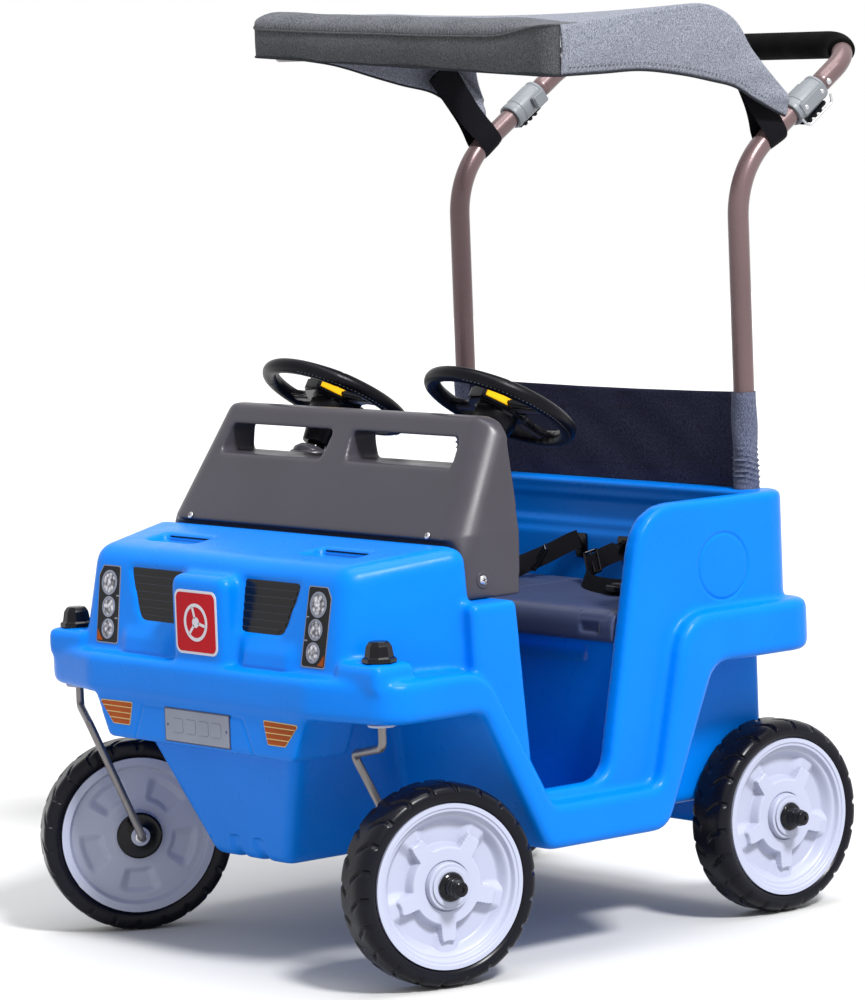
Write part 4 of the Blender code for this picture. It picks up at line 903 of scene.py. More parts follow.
def steering(side, sign):
    matrix = steering_matrix(sign)
    parts = [paint(place(rim_mesh("rim"), matrix), LEATHER)]
    hub = rounded([(0.0, 0.0125, 0.0), (0.0185, 0.0118, 0.004), (0.0280, 0.0080, 0.004),
                   (0.0312, -0.0040, 0.005), (0.0250, -0.0140, 0.004), (0.0175, -0.0185, 0.003),
                   (0.0165, -0.0222, 0.002), (0.0, -0.0222, 0.0)],
                  4, False)
    parts.append(paint(lathe("pad", hub, matrix, 64), BLACK))
    crown = rounded([(0.0, 0.0137, 0.0), (0.0110, 0.0137, 0.001), (0.0135, 0.0120, 0.001),
                     (0.0, 0.0110, 0.0)], 3, False)
    parts.append(paint(lathe("horn", crown, matrix, 48), DASH))
    for turn in (0.0, 90.0, 180.0):
        spoke = matrix @ Matrix.Rotation(math.radians(turn), 4, "Z")
        outline = rounded([(0.018, -0.0170, 0.0), (0.034, -0.0150, 0.010), (0.056, -0.0085, 0.020),
                           (0.0800, -0.0130, 0.010), (0.0830, -0.0130, 0.0), (0.0830, 0.0130, 0.0),
                           (0.0800, 0.0130, 0.010), (0.056, 0.0085, 0.020), (0.034, 0.0150, 0.010),
                           (0.018, 0.0170, 0.0)], 4)
        parts.append(paint(slab("spoke", outline, spoke, -0.0042, 0.0036, 0.0022, 3), BLACK))
        rail = rounded([(0.030, -0.0050, 0.002), (0.074, -0.0036, 0.002), (0.074, 0.0036, 0.002),
                        (0.030, 0.0050, 0.002)], 3)
        parts.append(paint(slab("inlay", rail, spoke, -0.0056, -0.0036, 0.0006), DASH))
    block = rounded([(-0.0120, -0.0400, 0.006), (0.0165, -0.0435, 0.003), (0.0335, -0.0015, 0.003),
                     (0.0300, 0.0200, 0.008), (0.0120, 0.0310, 0.008), (-0.0180, 0.0310, 0.008),
                     (-0.0340, 0.0140, 0.006), (-0.0340, -0.0160, 0.006)], 4)
    parts.append(paint(slab("housing", block, matrix, -0.0095, 0.0072, 0.0025, 3), BLACK))
    accent = [(0.0170, -0.0398), (0.0305, -0.0060), (0.0328, -0.0066), (0.0192, -0.0406)]
    parts.append(paint(slab("accent", accent, matrix, -0.0042, 0.0044, 0.0005), YELLOW))
    boss = rounded([(0.0100, -0.0090, 0.0), (0.0265, -0.0090, 0.002), (0.0255, -0.0200, 0.006),
                    (0.0205, -0.0380, 0.010), (0.0175, -0.0640, 0.002), (0.0100, -0.0640, 0.0)], 4)
    parts.append(paint(lathe("boss", boss, matrix, 56), LEATHER))
    for index in range(46):
        angle = math.radians(-72.0 + index * 3.2)
        seat = matrix @ Matrix.Rotation(angle, 4, "Z") @ Matrix.Translation((0.0905, 0.0, -0.0072))
        dash = [(-0.00035, -0.0013), (0.00035, -0.0013), (0.00035, 0.0013), (-0.00035, 0.0013)]
        parts.append(paint(slab("stitch", dash, seat, -0.0008, 0.0010, 0.0), GRAY_LINE))
    ride_group("steering_rim_" + side, parts, "steering_" + side, ["steering_wheel_" + side])
    shaft = rounded([(0.0, -0.0225, 0.0), (0.0112, -0.0225, 0.0008), (0.0112, -0.0420, 0.0),
                     (0.0104, -0.0432, 0.0005), (0.0104, -0.0462, 0.0005), (0.0112, -0.0475, 0.0),
                     (0.0112, -0.1370, 0.0010), (0.0, -0.1370, 0.0)],
                    3, False)
    column = lathe("steering_shaft_" + side, shaft, matrix, 40)
    finish_piece(column, BLACK, "steering_" + side, ["steering_column_" + side])
    collar = rounded([(0.0122, -0.0700, 0.0006), (0.0180, -0.0700, 0.002), (0.0235, -0.0760, 0.003),
                      (0.0240, -0.0820, 0.0), (0.0122, -0.0820, 0.0)], 4)
    finish_piece(lathe("column_collar_" + side, collar, matrix, 56), DASH, "car")


# ---------------------------------------------------------------- screws
def screw(name, matrix, radius, body, replaces=()):
    head = rounded([(0.0, radius * 0.36, 0.0), (radius * 0.55, radius * 0.34, radius * 0.2),
                    (radius * 0.95, radius * 0.12, radius * 0.1), (radius, 0.0, 0.0), (0.0, 0.0, 0.0)], 4,
                    False)
    parts = [paint(lathe("head", head, matrix, 40), BRIGHT)]
    # The cross slots are raised black marks on the bright head: painted shade for the recess of the slots.
    for turn in (20.0, 110.0):
        slot = [(-radius * 0.5, -radius * 0.09), (radius * 0.5, -radius * 0.09),
                (radius * 0.5, radius * 0.09), (-radius * 0.5, radius * 0.09)]
        cross = matrix @ Matrix.Rotation(math.radians(turn), 4, "Z")
        parts.append(paint(slab("slot", slot, cross, radius * 0.2, radius * 0.38, 0.0), STICKER))
    return ride_group(name, parts, body, replaces)


def facing(point, out, up=(0.0, 0.0, 1.0)):
    z = Vector(out).normalized()
    x = Vector(up).cross(z).normalized()
    return Matrix.Translation(point) @ Matrix((x, z.cross(x), z)).transposed().to_4x4()


def fasteners():
    for side, sign in SIDES:
        seat = facing((sign * 0.2742, -0.205, 0.455), (sign, 0.0, 0.0))
        screw("side_screw_" + side, seat, 0.0054, "car", ["dash_screw_" + side])
        lug = rounded([(0.0045, -0.0015, 0.0), (0.0105, -0.0015, 0.0), (0.0100, 0.0006, 0.0008),
                       (0.0060, 0.0008, 0.0005)], 3)
        finish_piece(lathe("screw_seat_" + side, lug, seat, 48), DASH, "car")
        out = Vector((0.0, -0.871, 0.491))
        tab = facing((sign * 0.222, -0.2420, 0.5060), out)
        screw("front_screw_" + side, tab, 0.0042, "car")
        rivet = facing((sign * 0.2675, 0.3725, 0.997096), (sign, 0.0, 0.0))
        dome = [(0.0, 0.0024), (0.0016, 0.0022), (0.0030, 0.0014), (0.0040, 0.0), (0.0, 0.0)]
        finish_piece(lathe("rivet_" + side, dome, rivet, 32), BRIGHT, "handle",
                     ["fold_rivet_" + side])


# ---------------------------------------------------------------- handle
SLOPE = math.atan(SLOPE_RISE)
UP_SLOPE = Vector((0.0, math.cos(SLOPE), math.sin(SLOPE)))
PIVOT_Y = 0.3725
PIVOT = Vector((0.0, PIVOT_Y, POST_BEND_Z + (PIVOT_Y - POST_Y) * SLOPE_RISE))


def fillet_path(corners, steps=14, spacing=0.006):
    """3-D path through (point, radius) corners with true arcs, evenly filled in between."""
    path = []
    for index, (point, radius) in enumerate(corners):
        here = Vector(point)
        if radius <= 0.0:
            path.append(here)
            continue
        before = (Vector(corners[index - 1][0]) - here).normalized()
        after = (Vector(corners[index + 1][0]) - here).normalized()
        half_angle = before.angle(after) / 2.0
        centre = here + (before + after).normalized() * radius / math.sin(half_angle)
        start = here + before * radius / math.tan(half_angle) - centre
        end = here + after * radius / math.tan(half_angle) - centre
        for step in range(steps + 1):
            path.append(centre + start.slerp(end, step / steps).normalized() * radius)
    length = sum((b - a).length for a, b in zip(path, path[1:]))
    return resample(path, max(8, int(length / spacing)))


def tube_path(sign):
    x = sign * POST_X
    end = PIVOT + Vector((x, 0.0, 0.0)) - UP_SLOPE * 0.0137
    return fillet_path([((x, POST_Y, 0.3735), 0.0), ((x, POST_Y, POST_BEND_Z), 0.110), (end, 0.0)], 24)


def handle():
    for side, sign in SIDES:
        post = sweep("post_" + side, tube_path(sign), TUBE_RADIUS, 40, (1.0, 0.0, 0.0))
        finish_piece(post, TUBE, "car", ["handle_tube_" + side])
        handle_collar(side, sign)
    bar_y = 0.3930
    bar_yz = Vector((0.0, bar_y, POST_BEND_Z + (bar_y - POST_Y) * SLOPE_RISE)) + UP_SLOPE * 0.051
    arm = Vector((POST_X, 0.0, 0.0))
    corners = [(PIVOT - arm, 0.0), (bar_yz - arm, 0.051), (bar_yz + arm, 0.051), (PIVOT + arm, 0.0)]
    path = fillet_path(corners, 24, 0.004)
    bar = sweep("bar", path, TUBE_RADIUS, 40, (0.0, -0.56, 0.83))
    ball = [(TUBE_RADIUS * math.cos(a), -TUBE_RADIUS * math.sin(a))
            for a in np.linspace(0.0, math.pi / 2.0, 9)]
    parts = [paint(bar, TUBE)]
    for sign in (-1.0, 1.0):
        end = facing(PIVOT + arm * sign, UP_SLOPE, (1.0, 0.0, 0.0))
        parts.append(paint(lathe("ball", [(TUBE_RADIUS, 0.0006)] + ball, end, 40), TUBE))
    ride_group("push_bar", parts, "handle", ["handle_bar"])
    foam_path = [point for point in path if abs(point.x) < 0.2425]
    ends = lambda t: 0.0168 - 0.0034 * (1.0 - smoothstep(0.0, 0.006, min(t, 1.0 - t)))
    foam = sweep("foam_sleeve", resample(foam_path, 220), ends, 48, (0.0, -0.56, 0.83))
    finish_piece(foam, FOAM, "handle", ["foam_grip"])


def handle_collar(side, sign):
    """Lock sleeve on the slope: a split ring with ribs, a release tab and a strap latch."""
    base = facing(PIVOT + Vector((sign * POST_X, 0.0, 0.0)), UP_SLOPE, (1.0, 0.0, 0.0))
    body = "collar_" + side
    outer = rounded([(0.0131, -0.0660, 0.0), (0.0164, -0.0660, 0.0008), (0.0170, -0.0600, 0.0008),
                     (0.0163, -0.0590, 0.0004), (0.0163, -0.0530, 0.0004), (0.0170, -0.0520, 0.0006),
                     (0.0170, -0.0200, 0.0006), (0.0160, -0.0188, 0.0004), (0.0160, -0.0150, 0.0004),
                     (0.0168, -0.0140, 0.0006), (0.0164, -0.0105, 0.0008), (0.0131, -0.0105, 0.0)], 3)
    parts = [paint(lathe("sleeve", outer, base, 56), SLATE)]
    axis_out = Vector((sign, 0.0, 0.0))
    middle = PIVOT + Vector((sign * POST_X, 0.0, 0.0)) - UP_SLOPE * 0.036
    plate = facing(middle + axis_out * 0.0135, axis_out, UP_SLOPE)
    outline = rectangle(0.0085, 0.0240, 0.004, 5)
    parts.append(paint(slab("plate", outline, plate, 0.0, 0.0048, 0.0012, 3), SLATE))
    for along in (-0.016, 0.016):
        seat = facing(middle + axis_out * 0.0182 + UP_SLOPE * along, axis_out, UP_SLOPE)
        head = [(0.0, 0.0012), (0.0020, 0.0010), (0.0030, 0.0), (0.0, 0.0)]
        parts.append(paint(lathe("pin", head, seat, 28), BRIGHT))
    underside = UP_SLOPE.cross(Vector((1.0, 0.0, 0.0))).normalized()
    if underside.z > 0.0:
        underside = -underside
    low = middle + underside * 0.0150 + axis_out * 0.0040
    latch = facing(low, underside, UP_SLOPE)
    shape = rounded([(-0.0060, -0.0240, 0.002), (0.0060, -0.0240, 0.002), (0.0060, 0.0200, 0.002),
                     (-0.0060, 0.0200, 0.002)], 4)
    parts.append(paint(slab("latch", shape, latch, 0.0, 0.0060, 0.0015, 3), BLACK))
    for along in (-0.014, -0.004, 0.006):
        rib = facing(low + UP_SLOPE * along, underside, UP_SLOPE)
        tooth = rectangle(0.0070, 0.0026, 0.001, 3)
        parts.append(paint(slab("rib", tooth, rib, 0.0040, 0.0078, 0.0012, 3), BLACK))
    loop_mid = middle + axis_out * 0.0165 + underside * 0.0110
    loop = [(loop_mid + UP_SLOPE * 0.026, 0.0), (loop_mid + UP_SLOPE * 0.022 + underside * 0.010, 0.006),
            (loop_mid - UP_SLOPE * 0.026 + underside * 0.010, 0.006),
            (loop_mid - UP_SLOPE * 0.030 - underside * 0.004, 0.0)]
    wire = sweep("loop", fillet_path(loop, 8, 0.002), 0.0016, 14, axis_out)
    parts.append(paint(wire, BRIGHT))
    ride_group("lock_sleeve_" + side, parts, body, ["handle_collar_" + side])
    inward = -axis_out
    seat = facing(PIVOT + Vector((sign * POST_X, 0.0, 0.0)) - UP_SLOPE * 0.026 + inward * 0.0165, inward,
                  UP_SLOPE)
    tab = rectangle(0.0088, 0.0108, 0.002)
    button = slab("release_tab_" + side, tab, seat, 0.0, 0.0070, 0.0015, 3)
    finish_piece(button, SLATE, body, ["collar_button_" + side])


# ---------------------------------------------------------------- cloth
def stitches(name, path, length=0.0034, gap=0.0026, radius=0.00045):
    """A row of short threads along a path, as one mesh."""
    total = sum((b - a).length for a, b in zip(path, path[1:]))
    count = max(2, int(total / (length + gap)))
    fine = resample(path, count * 4 + 1)
    verts, faces = [], []
    sides = 6
    for index in range(count):
        a, b = fine[index * 4], fine[index * 4 + 2]
        direction = (b - a).normalized()
        side = direction.orthogonal().normalized()
        up = direction.cross(side)
        start = len(verts)
        for share, size in ((0.0, 0.35), (0.2, 1.0), (0.8, 1.0), (1.0, 0.35)):
            centre = a.lerp(b, share)
            for k in range(sides):
                t = 2.0 * math.pi * k / sides
                verts.append(centre + (side * math.cos(t) + up * math.sin(t)) * radius * size)
        for ring in range(3):
            for k in range(sides):
                low, high = start + ring * sides, start + (ring + 1) * sides
                faces.append((low + k, low + (k + 1) % sides, high + (k + 1) % sides, high + k))
        faces.append([start + k for k in range(sides)][::-1])
        faces.append([start + 3 * sides + k for k in range(sides)])
    mesh = bpy.data.meshes.new(name)
    mesh.from_pydata([tuple(v) for v in verts], [], faces)
    return link(bpy.data.objects.new(name, mesh))


TOP_EDGE = ((-0.081, 1.0755), (-0.032, 1.0805), (0.030, 1.0865), (0.093, 1.0935), (0.157, 1.0965),
            (0.196, 1.0860), (0.220, 1.0680), (0.235, 1.0440), (0.266, 1.0120), (0.300, 0.9800))
LOW_EDGE = ((-0.081, 1.0200), (-0.004, 1.0210), (0.059, 1.0220), (0.121, 1.0150), (0.169, 1.0060),
            (0.208, 0.9970), (0.240, 0.9810), (0.272, 0.9670), (0.300, 0.9560))


def edge_height(table, y):
    curve = smooth_path([(a, 0.0, b) for a, b in table], 120)
    return np.interp(y, [p.x for p in curve], [p.z for p in curve])


def canopy_lift(x, y, amount):
    """The far front corner stands a little higher than the near one."""
    return (0.5 - 0.5 * x / 0.279) * amount * (1.0 - smoothstep(-0.081, 0.170, y))


# Half the canopy's width, its front edge, and its padded front roll.
HALF = 0.2775
FRONT = -0.0800
ROLL = 0.0300
PUFF = 0.0070
CORNER = 0.0180
ROOF_LIFT = 0.0215
HEM_LIFT = 0.0320


def roll_drop(x):
    """How far the front seam lies below the roof at the padded roll. It sweeps up to the right corner."""
    return 0.0135 * (1.0 - 0.96 * smoothstep(0.170, HALF, x)) * (1.0 - 0.25 * smoothstep(0.262, HALF, -x))


def corner(x):
    """How far the front curves back at its two rounded corners."""
    past = np.clip(np.abs(x) - (HALF - CORNER), 0.0, CORNER)
    return CORNER - np.sqrt(CORNER ** 2 - past ** 2)


def roll_puff(x):
    """How far the padding lifts the front of the roof."""
    return PUFF * (1.0 - smoothstep(0.195, HALF, x)) * (1.0 - 0.7 * smoothstep(0.255, HALF, -x))


def gathers(x, shift=0.0):
    """Uneven small pleats, as a seam pulls them up."""
    wander = 1.7 * np.sin(x * 41.0 + shift) + 1.1 * np.sin(x * 97.0 + 1.3)
    return np.sin(x * 1050.0 + wander) * (0.62 + 0.38 * np.sin(x * 63.0 + shift * 2.0))


def roof_height(x, y):
    sag = 0.0070 * (1.0 - (x / HALF) ** 2) * smoothstep(-0.081, -0.010, y)
    bump_up = 0.0050 * np.exp(-((x + 0.035) / 0.055) ** 2) * np.exp(-((y - 0.020) / 0.050) ** 2)
    return edge_height(TOP_EDGE, y) + canopy_lift(x, y, ROOF_LIFT) - sag + bump_up


def canopy():
    columns = 701
    x = np.linspace(-HALF, HALF, columns)
    rear = 0.2120 + 0.0830 * np.abs(x / HALF) ** 5
    seam_z = roof_height(x, np.full_like(x, FRONT + ROLL)) - roll_drop(x)
    roll = []
    for angle in np.linspace(math.pi / 2.0, 0.0, 15)[:-1]:
        y = FRONT + ROLL * (1.0 - math.sin(angle)) + corner(x) * math.sin(angle)
        top = roof_height(x, np.full_like(x, FRONT + ROLL)) + roll_puff(x)
        pleat = 0.0015 * gathers(x, angle * 0.9) * (0.35 + 0.65 * math.sin(2.0 * angle)) * roll_puff(x) / PUFF
        bulge = 0.0030 * math.sin(2.0 * angle)
        fall = (roll_drop(x) + roll_puff(x)) * (1.0 - math.cos(angle))
        roll.append(np.stack([x, y - pleat * 0.6 - bulge, top - fall + pleat], axis=-1))
    share = np.linspace(0.0, 1.0, 60)
    gx = np.tile(x, (len(share), 1))
    gy = FRONT + ROLL + share[:, None] * (rear - FRONT - ROLL)[None, :]
    fade = np.exp(-((gy - FRONT - ROLL) / 0.022))
    crest = np.exp(-((gy - FRONT - ROLL) / 0.030) ** 2)
    gz = roof_height(gx, gy) + 0.0012 * gathers(gx, 1.5) * fade * roll_puff(gx) / PUFF + roll_puff(gx) * crest
    roof = np.concatenate([np.array(roll), np.stack([gx, gy, gz], axis=-1)])
    drop = np.linspace(0.0, 1.0, 16)
    low = edge_height(LOW_EDGE, FRONT) + canopy_lift(x, FRONT, HEM_LIFT)
    front = []
    for k in drop:
        ripple = 0.0008 * gathers(x, 0.4) * math.exp(-k * 6.0)
        slack = 0.0016 * np.sin(x * 24.0 + 0.8) * k + 0.0010 * np.sin(x * 57.0) * k
        swell = 0.0030 * math.sin(math.pi * k) * (1.0 - np.abs(x / HALF) ** 8)
        front.append(np.stack([x, FRONT + corner(x) - swell - ripple + slack * (1.0 - np.abs(x / HALF) ** 6),
                               seam_z + (low - seam_z) * k], axis=-1))
    front[0] = np.array(roll[0])
    sheets = [roof, np.array(front)]
    for sign in (-1.0, 1.0):
        column = 0 if sign < 0.0 else columns - 1
        y, top = roof[:, column, 1], roof[:, column, 2]
        bottom = edge_height(LOW_EDGE, y) + canopy_lift(np.full_like(y, sign * 0.279), y, HEM_LIFT)
        bottom = np.minimum(bottom, top - 0.010)
        rows = []
        for k in drop:
            tail = smoothstep(0.17, 0.25, y) * math.sin(math.pi * k)
            pucker = (0.0022 * np.sin(y * 150.0 + k * 8.0) + 0.0012 * np.sin(y * 310.0 - k * 5.0)) * tail
            arch = math.sin(math.pi * k)
            swell = 0.0030 * arch + 0.0008 * np.sin(y * 38.0 + k * 3.0) * arch
            near = smoothstep(FRONT, FRONT + 0.012, y)
            inward = 0.0045 * smoothstep(0.23, 0.30, y)
            rows.append(np.stack([sign * (HALF + (swell + pucker) * near - inward * k), y,
                                  top + (bottom - top) * k],
                                 axis=-1))
        rows[0] = roof[:, column]
        sheets.append(np.array(rows))
    objects = [grid_object("sheet", points) for points in sheets]
    for obj in objects:
        paint(obj, HEATHER)
    # The front sheet takes the darkest heather copy: painted shade on the face turned away from the key
    # light.
    paint(objects[1], HEATHER_SHADE_AND_TRIM)
    # The roof's strip at the padded front roll takes the mid-dark heather copy: painted shade on the roll,
    # which faces away from the key light.
    objects[0].data.materials.append(HEATHER_ROLL_SHADE)
    for polygon in objects[0].data.polygons:
        if polygon.center.y < FRONT + ROLL * 1.6:
            polygon.material_index = 1
    cover = join("canopy_sheet", objects)
    tidy_mesh(cover, 0.00012)
    relax = cover.modifiers.new("Relax", "SMOOTH")
    relax.factor = 0.5
    relax.iterations = 2
    apply_modifiers(cover)
    bm = bmesh.new()
    bm.from_mesh(cover.data)
    area = sum(face.calc_area() for face in bm.faces)
    bm.free()
    thick = cover.modifiers.new("Cloth", "SOLIDIFY")
    thick.thickness = CLOTH_THICKNESS
    thick.offset = -1.0
    apply_modifiers(cover)
    cover.data.shade_smooth()
    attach(cover, "car")
    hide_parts("canopy_cover")
    trims = canopy_trims(x, seam_z, low)


def canopy_trims(x, seam_z, low):
    seam = [Vector((a, FRONT - 0.0010 + float(corner(a)), float(b))) for a, b in zip(x[::5], seam_z[::5])]
    piping = finish_piece(sweep("canopy_piping", resample(seam, 260), 0.0013, 12), HEATHER_SHADE_AND_TRIM, "car")
    hem = [Vector((a, FRONT - 0.0004 + float(corner(a)), float(b))) for a, b in zip(x[::5], low[::5])]
    trims = [piping, finish_piece(sweep("canopy_front_hem", resample(hem, 160), 0.0014, 10), THREAD_DARK,
                                  "car")]
    for side, sign in SIDES:
        y = np.linspace(FRONT + CORNER, 0.292, 110)
        side_x = np.full_like(y, sign * 0.279)
        bottom = edge_height(LOW_EDGE, y) + canopy_lift(side_x, y, HEM_LIFT)
        inward = 0.0045 * smoothstep(0.23, 0.30, y)
        edge = [Vector((sign * (HALF - float(i)), float(a), float(b))) for a, b, i in zip(y, bottom, inward)]
        binding = sweep("canopy_side_hem_" + side, resample(edge, 160), 0.0015, 10)
        trims.append(finish_piece(binding, THREAD_DARK, "car"))
        seam = [point + Vector((sign * 0.0022, 0.0, 0.0085)) for point in edge[3:-8]]
        trims.append(finish_piece(stitches("canopy_side_stitch_" + side, seam), HEATHER_SHADE_AND_TRIM, "car",
                                  (), 0))
        parts = []
        for inset in (0.0195, 0.0270):
            top = float(roof_height(np.array(sign * HALF), np.array(FRONT + inset)))
            bottom = float(edge_height(LOW_EDGE, FRONT + inset)) + float(canopy_lift(sign * 0.279,
                    FRONT + inset, HEM_LIFT))
            line = [Vector((sign * (HALF + 0.0004 + 0.0026 * math.sin(math.pi * k)), FRONT + inset,
                            top + (bottom - top) * k)) for k in np.linspace(0.08, 0.96, 20)]
            parts.append(paint(stitches("line", line, 0.0030, 0.0016, 0.0003), SLATE))
        trims.append(ride_group("canopy_corner_stitch_" + side, parts, "car"))
    return trims


def wire_frame():
    reach = 0.2625
    path = fillet_path([((-reach, 0.176, 1.050), 0.0), ((-reach, -0.062, 1.048), 0.03),
                        ((reach, -0.062, 1.048), 0.03), ((reach, 0.176, 1.050), 0.0)], 10)
    finish_piece(sweep("wire_frame", path, 0.0040, 20), STEEL, "car", ["canopy_frame"])


def canopy_strap(side, sign):
    """Webbing wrapped round the sloping tube, with both layers running up at the canopy's tail."""
    low = Vector((sign * POST_X, 0.2872, 0.9391)) + UP_SLOPE * (-0.004 if sign > 0.0 else -0.015)
    rise = Vector((0.0, -0.427, 0.904)) if sign > 0.0 else Vector((0.0, -0.600, 0.800))
    across = Vector((0.0, rise.z, -rise.y))
    radius = 0.0138
    half_loop = []
    for step in range(25):
        t = math.pi * (step / 24.0)
        half_loop.append(low + Vector((sign * radius * math.cos(t), 0.0, 0.0)) - rise * radius * math.sin(t))
    climb = [(0.012, 0.86), (0.028, 0.50), (0.046, 0.22), (0.070, 0.12), (0.095, 0.10), (0.118, 0.09)]
    outer = [low + rise * s + Vector((sign * radius * k, 0.0, 0.0)) for s, k in climb]
    inner = [low + rise * s - Vector((sign * radius * k, 0.0, 0.0)) for s, k in climb]
    path = smooth_path(outer[::-1] + half_loop[::3] + inner, 110)
    strap = ribbon("canopy_webbing_" + side, path, across, 0.0320, 0.0016)
    points = coordinates(strap)
    offset = points - np.array(low)
    height = np.clip(offset @ np.array(rise), 0.0, 0.12) / 0.12
    aside = offset @ np.array(across)
    points += (aside * 0.38 * height)[:, None] * np.array(across)[None, :]
    move_vertices(strap, points)
    finish_piece(strap, WEBBING, "car", ["canopy_strap_" + side])


def panel_outline():
    """Plan view of the back panel: two sleeves joined by a thin double layer."""
    centre_x, radius, half = POST_X, 0.0146, 0.0017
    right = []
    for step in range(41):
        t = math.radians(-130.0 + 260.0 * step / 40.0)
        right.append((centre_x + radius * math.cos(t), radius * math.sin(t)))
    neck = [(centre_x - 0.0150, 0.0070), (centre_x - 0.0190, 0.0032), (centre_x - 0.0230, half)]
    straight = [(a, half) for a in np.linspace(centre_x - 0.028, -(centre_x - 0.028), 110)]
    back = right + neck + straight
    other = [(-a, b) for a, b in reversed(neck)]
    left = [(-a, b) for a, b in reversed(right)]
    front = [(a, -b) for a, b in neck]
    return back + other + left + [(-a, -b) for a, b in neck] + [(a, -half) for a,
            b in reversed(straight)] + front[::-1]


def panel_arch(z):
    """0 at the rear panel's foot and top, 1 half way up."""
    return math.sin((z - PANEL_FOOT) / PANEL_HEIGHT * math.pi)


def back_panel():
    outline = np.array(panel_outline())
    heights = np.linspace(PANEL_FOOT, PANEL_TOP, 64)
    x, y = outline[:, 0], outline[:, 1]
    rows = []
    for z in heights:
        sleeve = smoothstep(0.232, 0.243, np.abs(x))
        angle = np.arctan2(y, np.abs(x) - POST_X)
        crease = 1.0 - np.abs(np.sin((z * 480.0) + angle * 1.3 + 0.8 * np.sin(angle * 2.0)))
        wrinkle = 0.0034 * sleeve * math.exp(-((z - 0.546) / 0.022) ** 2) * (crease ** 2 - 0.25)
        wrinkle += 0.0006 * sleeve * np.sin(z * 95.0 + angle * 2.0)
        grow = 1.0 + wrinkle / 0.0146
        wave = (1.0 - sleeve) * 0.0016 * np.sin(x * 17.0 + 0.6) * panel_arch(z)
        ripple = (1.0 - sleeve) * 0.0006 * np.sin(x * 60.0 + z * 90.0)
        edge = 0.0012 * min(1.0, max(0.0, 1.0 - min(z - PANEL_FOOT, PANEL_TOP - z) / 0.002))
        px = np.where(np.abs(x) > 0.232, np.sign(x) * (POST_X + (np.abs(x) - POST_X) * grow), x)
        py = POST_Y + y * grow * (1.0 - 0.4 * edge / 0.0012 * (1.0 - sleeve)) + wave + ripple
        sag = 0.0025 * (1.0 - (x / POST_X) ** 2) * smoothstep(0.60, PANEL_TOP, z)
        rows.append(np.stack([px, py, np.full_like(px, z) - sag], axis=-1))
    panel = grid_object("rear_panel", np.array(rows), False, True)
    bm = bmesh.new()
    bm.from_mesh(panel.data)
    bmesh.ops.holes_fill(bm, edges=[edge for edge in bm.edges if edge.is_boundary], sides=0)
    bm.to_mesh(panel.data)
    bm.free()
    tidy_mesh(panel)
    paint(panel, MESH_DARK, 60.0)
    panel.data.materials.append(SLEEVE)
    for polygon in panel.data.polygons:
        if abs(polygon.center.x) > 0.2385:
            polygon.material_index = 1
    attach(panel, "car")
    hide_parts("back_panel")
    parts = []
    for sign in (-1.0, 1.0):
        for face in (-1.0, 1.0):
            line = [Vector((sign * 0.2335, POST_Y + face * 0.0026, z)) for z in np.linspace(0.517, 0.631, 30)]
            parts.append(paint(stitches("seam", line, 0.003, 0.002), THREAD_DARK))
    for face in (-1.0, 1.0):
        for z in (0.5215, 0.6250):
            line = [Vector((a, POST_Y + face * 0.0022 + 0.0016 * math.sin(a * 17.0 + 0.6)
                            * panel_arch(z), z)) for a in np.linspace(-0.230, 0.230, 60)]
            parts.append(paint(stitches("hem", line, 0.003, 0.002), THREAD_DARK))
    box = [(-0.070, 0.540), (0.130, 0.540), (0.130, 0.608), (-0.070, 0.608), (-0.070, 0.540)]
    for (a0, b0), (a1, b1) in zip(box, box[1:]):
        line = []
        for k in np.linspace(0.0, 1.0, 30):
            a, b = a0 + (a1 - a0) * k, b0 + (b1 - b0) * k
            wave = 0.0016 * math.sin(a * 17.0 + 0.6) * panel_arch(b)
            line.append(Vector((a, POST_Y - 0.0021 + wave, b)))
        parts.append(paint(stitches("pocket", line, 0.003, 0.002), THREAD_DARK))
    seams = ride_group("rear_panel_stitches", parts, "car")


# ---------------------------------------------------------------- seat belts
def belts():
    for side, sign in SIDES:
        lap = [(0.061, 0.2020, 0.448), (0.058, 0.1960, 0.437), (0.050, 0.1740, 0.428),
               (0.052, 0.1480, 0.4130), (0.076, 0.1260, 0.4060), (0.110, 0.1150, 0.4040),
               (0.150, 0.1140, 0.4040), (0.200, 0.1280, 0.4040), (0.240, 0.1560, 0.4050),
               (0.262, 0.1850, 0.4100), (0.270, 0.2020, 0.4200)]
        if sign < 0.0:
            lap[:4] = [(0.020, 0.2020, 0.446), (0.030, 0.1930, 0.441), (0.050, 0.1740, 0.428),
                       (0.070, 0.1480, 0.4150)]
        path = smooth_path([(sign * a, b, c) for a, b, c in lap], 150)
        belt = ribbon("lap_belt_" + side, path, (0.0, 0.45, 0.89), 0.0240, 0.0014)
        paint(belt, WEBBING)
        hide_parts("seat_belt_" + side)
        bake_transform(belt)
        frame_matrix = Matrix.Translation((sign * 0.150, 0.114, 0.4012))
        shell = rounded([(-0.0175, -0.0100, 0.004), (0.0040, -0.0138, 0.003), (0.0175, -0.0120, 0.003),
                         (0.0175, 0.0120, 0.003), (0.0040, 0.0138, 0.003), (-0.0175, 0.0100, 0.004)], 5)
        parts = [paint(slab("shell", shell, frame_matrix, 0.0002, 0.0082, 0.0020, 3), BLACK)]
        prong = rounded([(-0.0100, -0.0060, 0.002), (0.0080, -0.0080, 0.002), (0.0080, 0.0080, 0.002),
                         (-0.0100, 0.0060, 0.002)], 4)
        parts.append(paint(slab("prong", prong, frame_matrix, 0.0074, 0.0092, 0.0006, 2), DASH))
        ride_group("clip_" + side, parts, "lid", ["belt_buckle_" + side])
        belt_adjuster(side, sign)
        anchor = facing((0.0595 if sign > 0.0 else -0.018, 0.2036, 0.438), (0.0, -1.0, 0.0))
        plate = rectangle(0.010, 0.015, 0.003)
        anchor_plate = slab("belt_anchor_" + side, plate, anchor, -0.003, 0.0014, 0.0006)
        finish_piece(anchor_plate, BLACK, "car")


